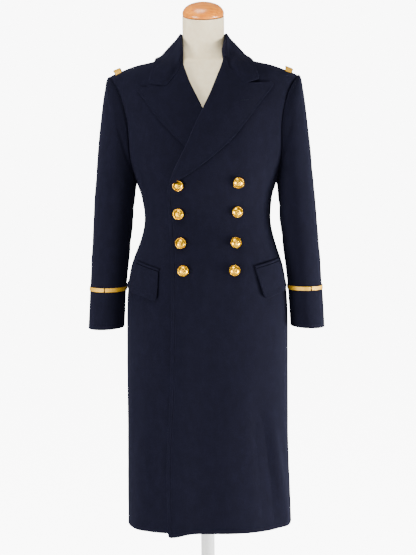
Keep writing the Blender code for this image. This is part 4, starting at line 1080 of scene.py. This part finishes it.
for name, side in LOOPS.items():
    hub = (0.15 * side, 0.0)
    grid = panel_grid(name, ((0.1885 * side, -0.0262, 1.3155), (0.1885 * side, 0.0262, 1.3166),
                             (0.2053 * side, -0.0264, 1.3076), (0.2051 * side, 0.0262, 1.3098)),
                      hub)
    inner_end, outer_end, top = LOOP_SHIFTS[name]
    for row, front_end in ((0, inner_end), (1, outer_end)):
        for col in range(grid.shape[1]):
            at_front = max(0.0, 1 - col / 2)
            at_top = 1 - abs(col - 4) / 4
            grid[row, col, 0] += (front_end[0] * at_front + top[0] * at_top) * MM
            grid[row, col, 2] += (front_end[1] * at_front + top[1] * at_top) * MM
            grid[row, col, 1] -= 5.0 * MM * at_front
    sheet = Sheet(refine(grid, 1.0 * MM, 1.5 * MM, **all_round(WELT_FINE)), hub)
    drop = edge_drop(sheet, **all_round(0.5 * MM))
    underlay = dress(shell(name + "_underlay", sheet, drop * 0.0 - 0.5 * MM, drop, melton,
                           1.2 * MM), "navy_melton")
    share = LOOP_LACE_INSET / np.linalg.norm(grid[1] - grid[0], axis=1).mean()
    narrow = np.array([grid[0] + share * (grid[1] - grid[0]),
                       grid[1] - share * (grid[1] - grid[0])])
    sheet = Sheet(refine(narrow, 0.4 * MM, 1.5 * MM, **all_round(LACE_FINE)), hub)
    lace_on(sheet, name, 0.10 * MM, LOOP_RIDGES)


# ---- buttons --------------------------------------------------------------
# Uniform buttons, 25 mm, struck in gilt brass: a low dome in a roped rim over a
# shank, with a plain eight-leaved rosette. Each is sewn on by its shank.
BUTTON_RIM = 11.6        # mm, the rope's radius
ROPE_TURNS = 40
ROPE_SLANT = math.radians(35)
LEAVES = 8
LEAF_OUT = 4.3           # mm, from the middle of the button to the middle of a leaf
LEAF_TIP = math.radians(15)

gilt, tree, shader = new_material("gilt_brass")
coords = add_node(tree, "ShaderNodeTexCoord").outputs["Object"]
worn = add_node(tree, "ShaderNodeTexNoise", {"Vector": coords, "Scale": 420.0, "Detail": 3.0})
brass = add_node(tree, "ShaderNodeValToRGB", {"Fac": worn.outputs["Fac"]})
set_ramp(brass, ((0.3, "#F6B010"), (0.7, "#FFD020")))
rough = add_node(tree, "ShaderNodeMapRange",
                 {"Value": worn.outputs["Fac"], "To Min": 0.18, "To Max": 0.34})
feed(tree, shader, {"Base Color": brass.outputs[0], "Roughness": rough.outputs[0],
                    "Metallic": 1.0})


def turned_piece(name, profile, sides):
    """Draw a round piece up its profile of (radius, height) in mm, as a lathe would."""
    bpy.ops.object.select_all(action="DESELECT")
    radius, height = (x * MM for x in profile[0])
    bpy.ops.mesh.primitive_circle_add(vertices=sides, radius=radius, fill_type="NGON",
                                      location=(0, 0, 0))
    made = bpy.context.object
    made.name = name
    bpy.ops.object.mode_set(mode="EDIT")
    bpy.ops.mesh.select_all(action="SELECT")
    bpy.ops.transform.translate(value=(0, 0, height))
    for wider, higher in ((r * MM, h * MM) for r, h in profile[1:]):
        bpy.ops.mesh.extrude_region_move(
            TRANSFORM_OT_translate={"value": (0, 0, higher - height)})
        ratio = wider / radius
        bpy.ops.transform.resize(value=(ratio, ratio, 1), center_override=(0, 0, higher))
        radius, height = wider, higher
    bpy.ops.mesh.select_all(action="SELECT")
    bpy.ops.mesh.normals_make_consistent(inside=False)
    bpy.ops.object.mode_set(mode="OBJECT")
    bpy.ops.object.shade_smooth_by_angle(angle=math.radians(35))
    return made


def join_pieces(pieces, name):
    """Join pieces into the first of them."""
    bpy.ops.object.select_all(action="DESELECT")
    for piece in pieces:
        piece.select_set(True)
    bpy.context.view_layer.objects.active = pieces[0]
    bpy.ops.object.join()
    pieces[0].name = name
    pieces[0].select_set(False)
    return pieces[0]


def pose_of(node, facing):
    """Where a round CAD piece stands: its foot's middle and its axis."""
    places = np.array([list(v.co) for v in frame["nodes"][node].data.vertices])
    places = np.unique(np.round(places, 6), axis=0)
    middle = places.mean(axis=0)
    axis = np.linalg.svd(places - middle)[2][-1]
    if np.dot(axis, facing) < 0:
        axis = -axis
    foot = middle + axis * ((places - middle) @ axis).min()
    turn = Vector(axis).to_track_quat("Z", "Y")
    return Matrix.Translation(Vector(foot)) @ turn.to_matrix().to_4x4()


def set_down(made, pose):
    """Move a finished piece's mesh to its place and leave its object at the origin."""
    made.data.transform(pose)
    made.data.update()
    return made


def add_bead(sides, place, rotation, size):
    """A smooth ellipsoid of a button's relief; place and size in mm."""
    bpy.ops.object.select_all(action="DESELECT")
    bpy.ops.mesh.primitive_uv_sphere_add(
        segments=sides, ring_count=sides // 2 + 2, radius=1.0,
        location=[x * MM for x in place], rotation=rotation, scale=[x * MM for x in size])
    bpy.ops.object.transform_apply(location=True, rotation=True, scale=True)
    bpy.ops.object.shade_smooth()
    return bpy.context.object


dome = turned_piece("button", (
    (3.0, 0.0), (3.0, 2.2), (11.2, 2.2), (12.2, 2.9), (12.4, 3.8), (11.9, 4.7), (11.0, 4.9),
    (10.4, 4.5), (10.0, 4.9), (9.2, 5.9), (8.0, 7.0), (6.4, 8.0), (4.6, 8.7), (2.6, 9.1),
    (0.8, 9.2)), 48)
relief_pieces = [dome]
for number in range(ROPE_TURNS):
    turn = 2 * math.pi * number / ROPE_TURNS
    place = (BUTTON_RIM * math.cos(turn), BUTTON_RIM * math.sin(turn), 4.5)
    relief_pieces.append(add_bead(8, place, (0, 0, turn + ROPE_SLANT), (1.15, 0.62, 0.7)))
for number in range(LEAVES):
    turn = 2 * math.pi * number / LEAVES
    place = (LEAF_OUT * math.cos(turn), LEAF_OUT * math.sin(turn), 8.55)
    relief_pieces.append(add_bead(12, place, (0, LEAF_TIP, turn), (2.9, 1.25, 0.75)))
relief_pieces.append(add_bead(16, (0, 0, 9.1), (0, 0, 0), (1.7, 1.7, 0.8)))
button_model = join_pieces(relief_pieces, "button_model")
button_model.data.materials.append(gilt)

for number in range(1, 9):
    node = "button_" + str(number)
    made = add_object(node + "_gilt", button_model.data.copy())
    spin = Matrix.Rotation(math.radians(23.0 * number), 4, "Z")
    dress(set_down(made, pose_of(node, (0, -1, 0)) @ spin), "gilt_metal", node)
bpy.data.objects.remove(button_model)


# ---- buttonholes ----------------------------------------------------------
# Worked in navy buttonhole twist: a raised oval of thread round a closed slit.
# Those of the front edge run out past their buttons; one is on the over lapel.
thread, tree, shader = new_material("buttonhole_twist")
coords = add_node(tree, "ShaderNodeTexCoord").outputs["Object"]
strands = add_node(tree, "ShaderNodeTexNoise", {"Vector": coords, "Scale": 1500.0})
twist = add_node(tree, "ShaderNodeValToRGB", {"Fac": strands.outputs["Fac"]})
set_ramp(twist, ((0.3, "#0C0D16"), (0.7, "#151826")))
twist_bump = add_node(tree, "ShaderNodeBump", {"Height": strands.outputs["Fac"],
                                               "Strength": 0.6, "Distance": 0.2 * MM})
feed(tree, shader, {"Base Color": twist.outputs[0], "Normal": twist_bump.outputs[0],
                    "Roughness": 0.9, "Specular IOR Level": 0.1})

# The sheet each slit is worked in, x and height of its start and end, and its size.
BUTTONHOLES = (
    ("lapel_over", (0.0810, 1.2443), (0.0997, 1.2460), 0.45),
    ("front_over", (-0.0600, 1.0575), (-0.0375, 1.0590), 1.0),
    ("front_over", (-0.0605, 0.9915), (-0.0375, 0.9930), 1.0),
    ("front_over", (-0.0565, 0.9250), (-0.0335, 0.9262), 1.0),
    ("front_over", (-0.0520, 0.8650), (-0.0290, 0.8662), 1.0),
)
HOLE_HALF_WIDTH = 1.3 * MM
HOLE_POINTS = 36
THREAD_SIDES = 8

hole_surfaces = {"lapel_over": surface_of(lapel_sheets["lapel_over"]),
                 "front_over": surface_of(front_sheets["front_over"])}
holes = {"lapel_over": [], "front_over": []}
for number, (panel, start, end, size) in enumerate(BUTTONHOLES, 1):
    surface = hole_surfaces[panel]
    begin, finish = Vector((start[0], 0, start[1])), Vector((end[0], 0, end[1]))
    way = (finish - begin).normalized()
    up = Vector((-way.z, 0, way.x))
    half = (finish - begin).length / 2
    bm = bmesh.new()
    rings = []
    for k in range(HOLE_POINTS):
        turn = 2 * math.pi * k / HOLE_POINTS
        along = half * math.copysign(abs(math.cos(turn)) ** 0.75, math.cos(turn))
        flat = (begin + finish) / 2 + way * along + up * HOLE_HALF_WIDTH * size * math.sin(turn)
        hit, normal = surface.ray_cast(flat + Vector((0, -1, 0)), Vector((0, 1, 0)))[:2]
        if normal.y > 0:
            normal = -normal
        tangent = (way * -math.sin(turn) * half
                   + up * HOLE_HALF_WIDTH * math.cos(turn)).normalized()
        side = tangent.cross(normal).normalized()
        thick = 0.75 * MM * size * (1.0 + 0.12 * (k % 2))
        rings.append([bm.verts.new(hit + normal * (0.10 * MM + 0.8 * thick * math.sin(a))
                                   + side * thick * math.cos(a))
                      for a in (2 * math.pi * i / THREAD_SIDES for i in range(THREAD_SIDES))])
    for one, other in zip(rings, rings[1:] + rings[:1]):
        for i in range(THREAD_SIDES):
            j = (i + 1) % THREAD_SIDES
            bm.faces.new((one[i], one[j], other[j], other[i]))
    bmesh.ops.recalc_face_normals(bm, faces=bm.faces)
    mesh = bpy.data.meshes.new("buttonhole_" + str(number))
    bm.to_mesh(mesh)
    bm.free()
    mesh.shade_smooth()
    mesh.materials.append(thread)
    holes[panel].append(dress(add_object(mesh.name, mesh), "navy_melton"))


# ---- dress form -----------------------------------------------------------
# A limbless form of moulded board covered in ivory linen: seams run up the
# middle of the front and the back, and another goes round the neck.
linen, tree, shader = new_material("ivory_form_linen")
coords = add_node(tree, "ShaderNodeTexCoord").outputs["Object"]
LINEN_THREAD = 0.7 * MM
weave = None
for axis in ("X", "Z"):
    band = add_node(tree, "ShaderNodeTexWave",
                    {"Vector": coords, "Scale": 0.314 / LINEN_THREAD, "Distortion": 1.2,
                     "Detail": 2.0}, bands_direction=axis)
    weave = band.outputs["Fac"] if weave is None else add_node(
        tree, "ShaderNodeMath", {0: weave, 1: band.outputs["Fac"]},
        operation="MULTIPLY").outputs[0]
slubs = add_node(tree, "ShaderNodeTexNoise", {"Vector": coords, "Scale": 90.0, "Detail": 4.0})
linen_mix = add_node(tree, "ShaderNodeMath", {0: weave, 1: 0.35, 2: slubs.outputs["Fac"]},
                     operation="MULTIPLY_ADD")
ivory = add_node(tree, "ShaderNodeValToRGB", {"Fac": linen_mix.outputs[0]})
set_ramp(ivory, ((0.25, "#F3DEB2"), (0.85, "#FFF0CC")))
linen_bump = add_node(tree, "ShaderNodeBump", {"Height": weave, "Strength": 0.25,
                                               "Distance": 0.2 * MM})
feed(tree, shader, {"Base Color": ivory.outputs[0], "Normal": linen_bump.outputs[0],
                    "Roughness": 0.85, "Specular IOR Level": 0.3})

FORM_AROUND = 96
FORM_BOARD = 3.0 * MM
NECK_SEAM = 1.3735       # its height at the sides; it runs a little higher in front

fine = refine_tube(tube_grid("form", (0.0, 0.0)), 7.0 * MM, FORM_AROUND)
sheet = Sheet(fine, around=True)
x, y, z = fine[..., 0], fine[..., 1], fine[..., 2]
relief = -0.5 * MM * dent(x, 0.8 * MM)
relief -= 0.6 * MM * dent(z - NECK_SEAM + 0.06 * y, 1.0 * MM)
inner = fine - sheet.normals * FORM_BOARD
form = cloth_wall("form_linen_cover", fine + sheet.normals * relief[..., None], inner,
                  linen, around=True)
dress(form, "form_linen", "form")


# ---- neck cap -------------------------------------------------------------
# A cap that closes the form's neck, turned from beech: a shallow dome with a
# softened rim, under a warm varnish. It sits on the neck's upper edge.
beech, tree, shader = new_material("varnished_beech")
coords = add_node(tree, "ShaderNodeTexCoord").outputs["Object"]
grain_map = add_node(tree, "ShaderNodeMapping",
                     {"Vector": coords, "Scale": (26.0, 170.0, 240.0)})
grain = add_node(tree, "ShaderNodeTexNoise",
                 {"Vector": grain_map.outputs[0], "Scale": 1.0, "Detail": 5.0,
                  "Roughness": 0.6, "Distortion": 0.3})
wood = add_node(tree, "ShaderNodeValToRGB", {"Fac": grain.outputs["Fac"]})
set_ramp(wood, ((0.30, "#CC6204"), (0.50, "#EE8808"), (0.72, "#FF9E20")))
feed(tree, shader, {"Base Color": wood.outputs[0], "Roughness": 0.35,
                    "Coat Weight": 0.4, "Coat Roughness": 0.15})

cap = turned_piece("neck_cap_beech", (
    (44.0, 0.3), (46.0, 0.9), (47.2, 2.2), (47.7, 4.0), (47.8, 6.0), (47.5, 8.6),
    (46.5, 11.4), (44.5, 15.0), (41.2, 19.0), (36.4, 22.8), (30.0, 25.9), (22.5, 28.4),
    (14.5, 30.1), (6.5, 31.2), (1.5, 31.4)), 96)
cap.data.materials.append(beech)
dress(set_down(cap, pose_of("neck_cap", (0, 0, 1))), "cap_wood", "neck_cap")


# ---- stand ----------------------------------------------------------------
# A round pressed base with a boss, and the steel pole that stands in it and
# carries the form. Both are in white enamel.
enamel, tree, shader = new_material("white_enamel_steel")
coords = add_node(tree, "ShaderNodeTexCoord").outputs["Object"]
peel = add_node(tree, "ShaderNodeTexNoise", {"Vector": coords, "Scale": 260.0, "Detail": 2.0})
shade = add_node(tree, "ShaderNodeValToRGB", {"Fac": peel.outputs["Fac"]})
set_ramp(shade, ((0.3, "#E6E6E4"), (0.7, "#EEEEEC")))
peel_bump = add_node(tree, "ShaderNodeBump", {"Height": peel.outputs["Fac"],
                                              "Strength": 0.15, "Distance": 0.1 * MM})
feed(tree, shader, {"Base Color": shade.outputs[0], "Normal": peel_bump.outputs[0],
                    "Roughness": 0.3})

pole = turned_piece("pole_enamel", ((16.0, 30.3), (16.0, 799.7)), 64)
pole.data.materials.append(enamel)
dress(pole, "white_steel", "pole")

base = turned_piece("base_enamel", (
    (173.0, 0.0), (174.4, 0.6), (175.0, 2.0), (175.0, 10.5), (174.5, 12.4), (173.2, 13.7),
    (171.0, 14.2), (60.0, 15.7), (38.0, 16.2), (31.0, 17.6), (28.6, 20.5), (28.0, 28.4),
    (27.4, 29.6), (26.2, 30.0)), 128)
base.data.materials.append(enamel)
dress(base, "white_steel", "base")
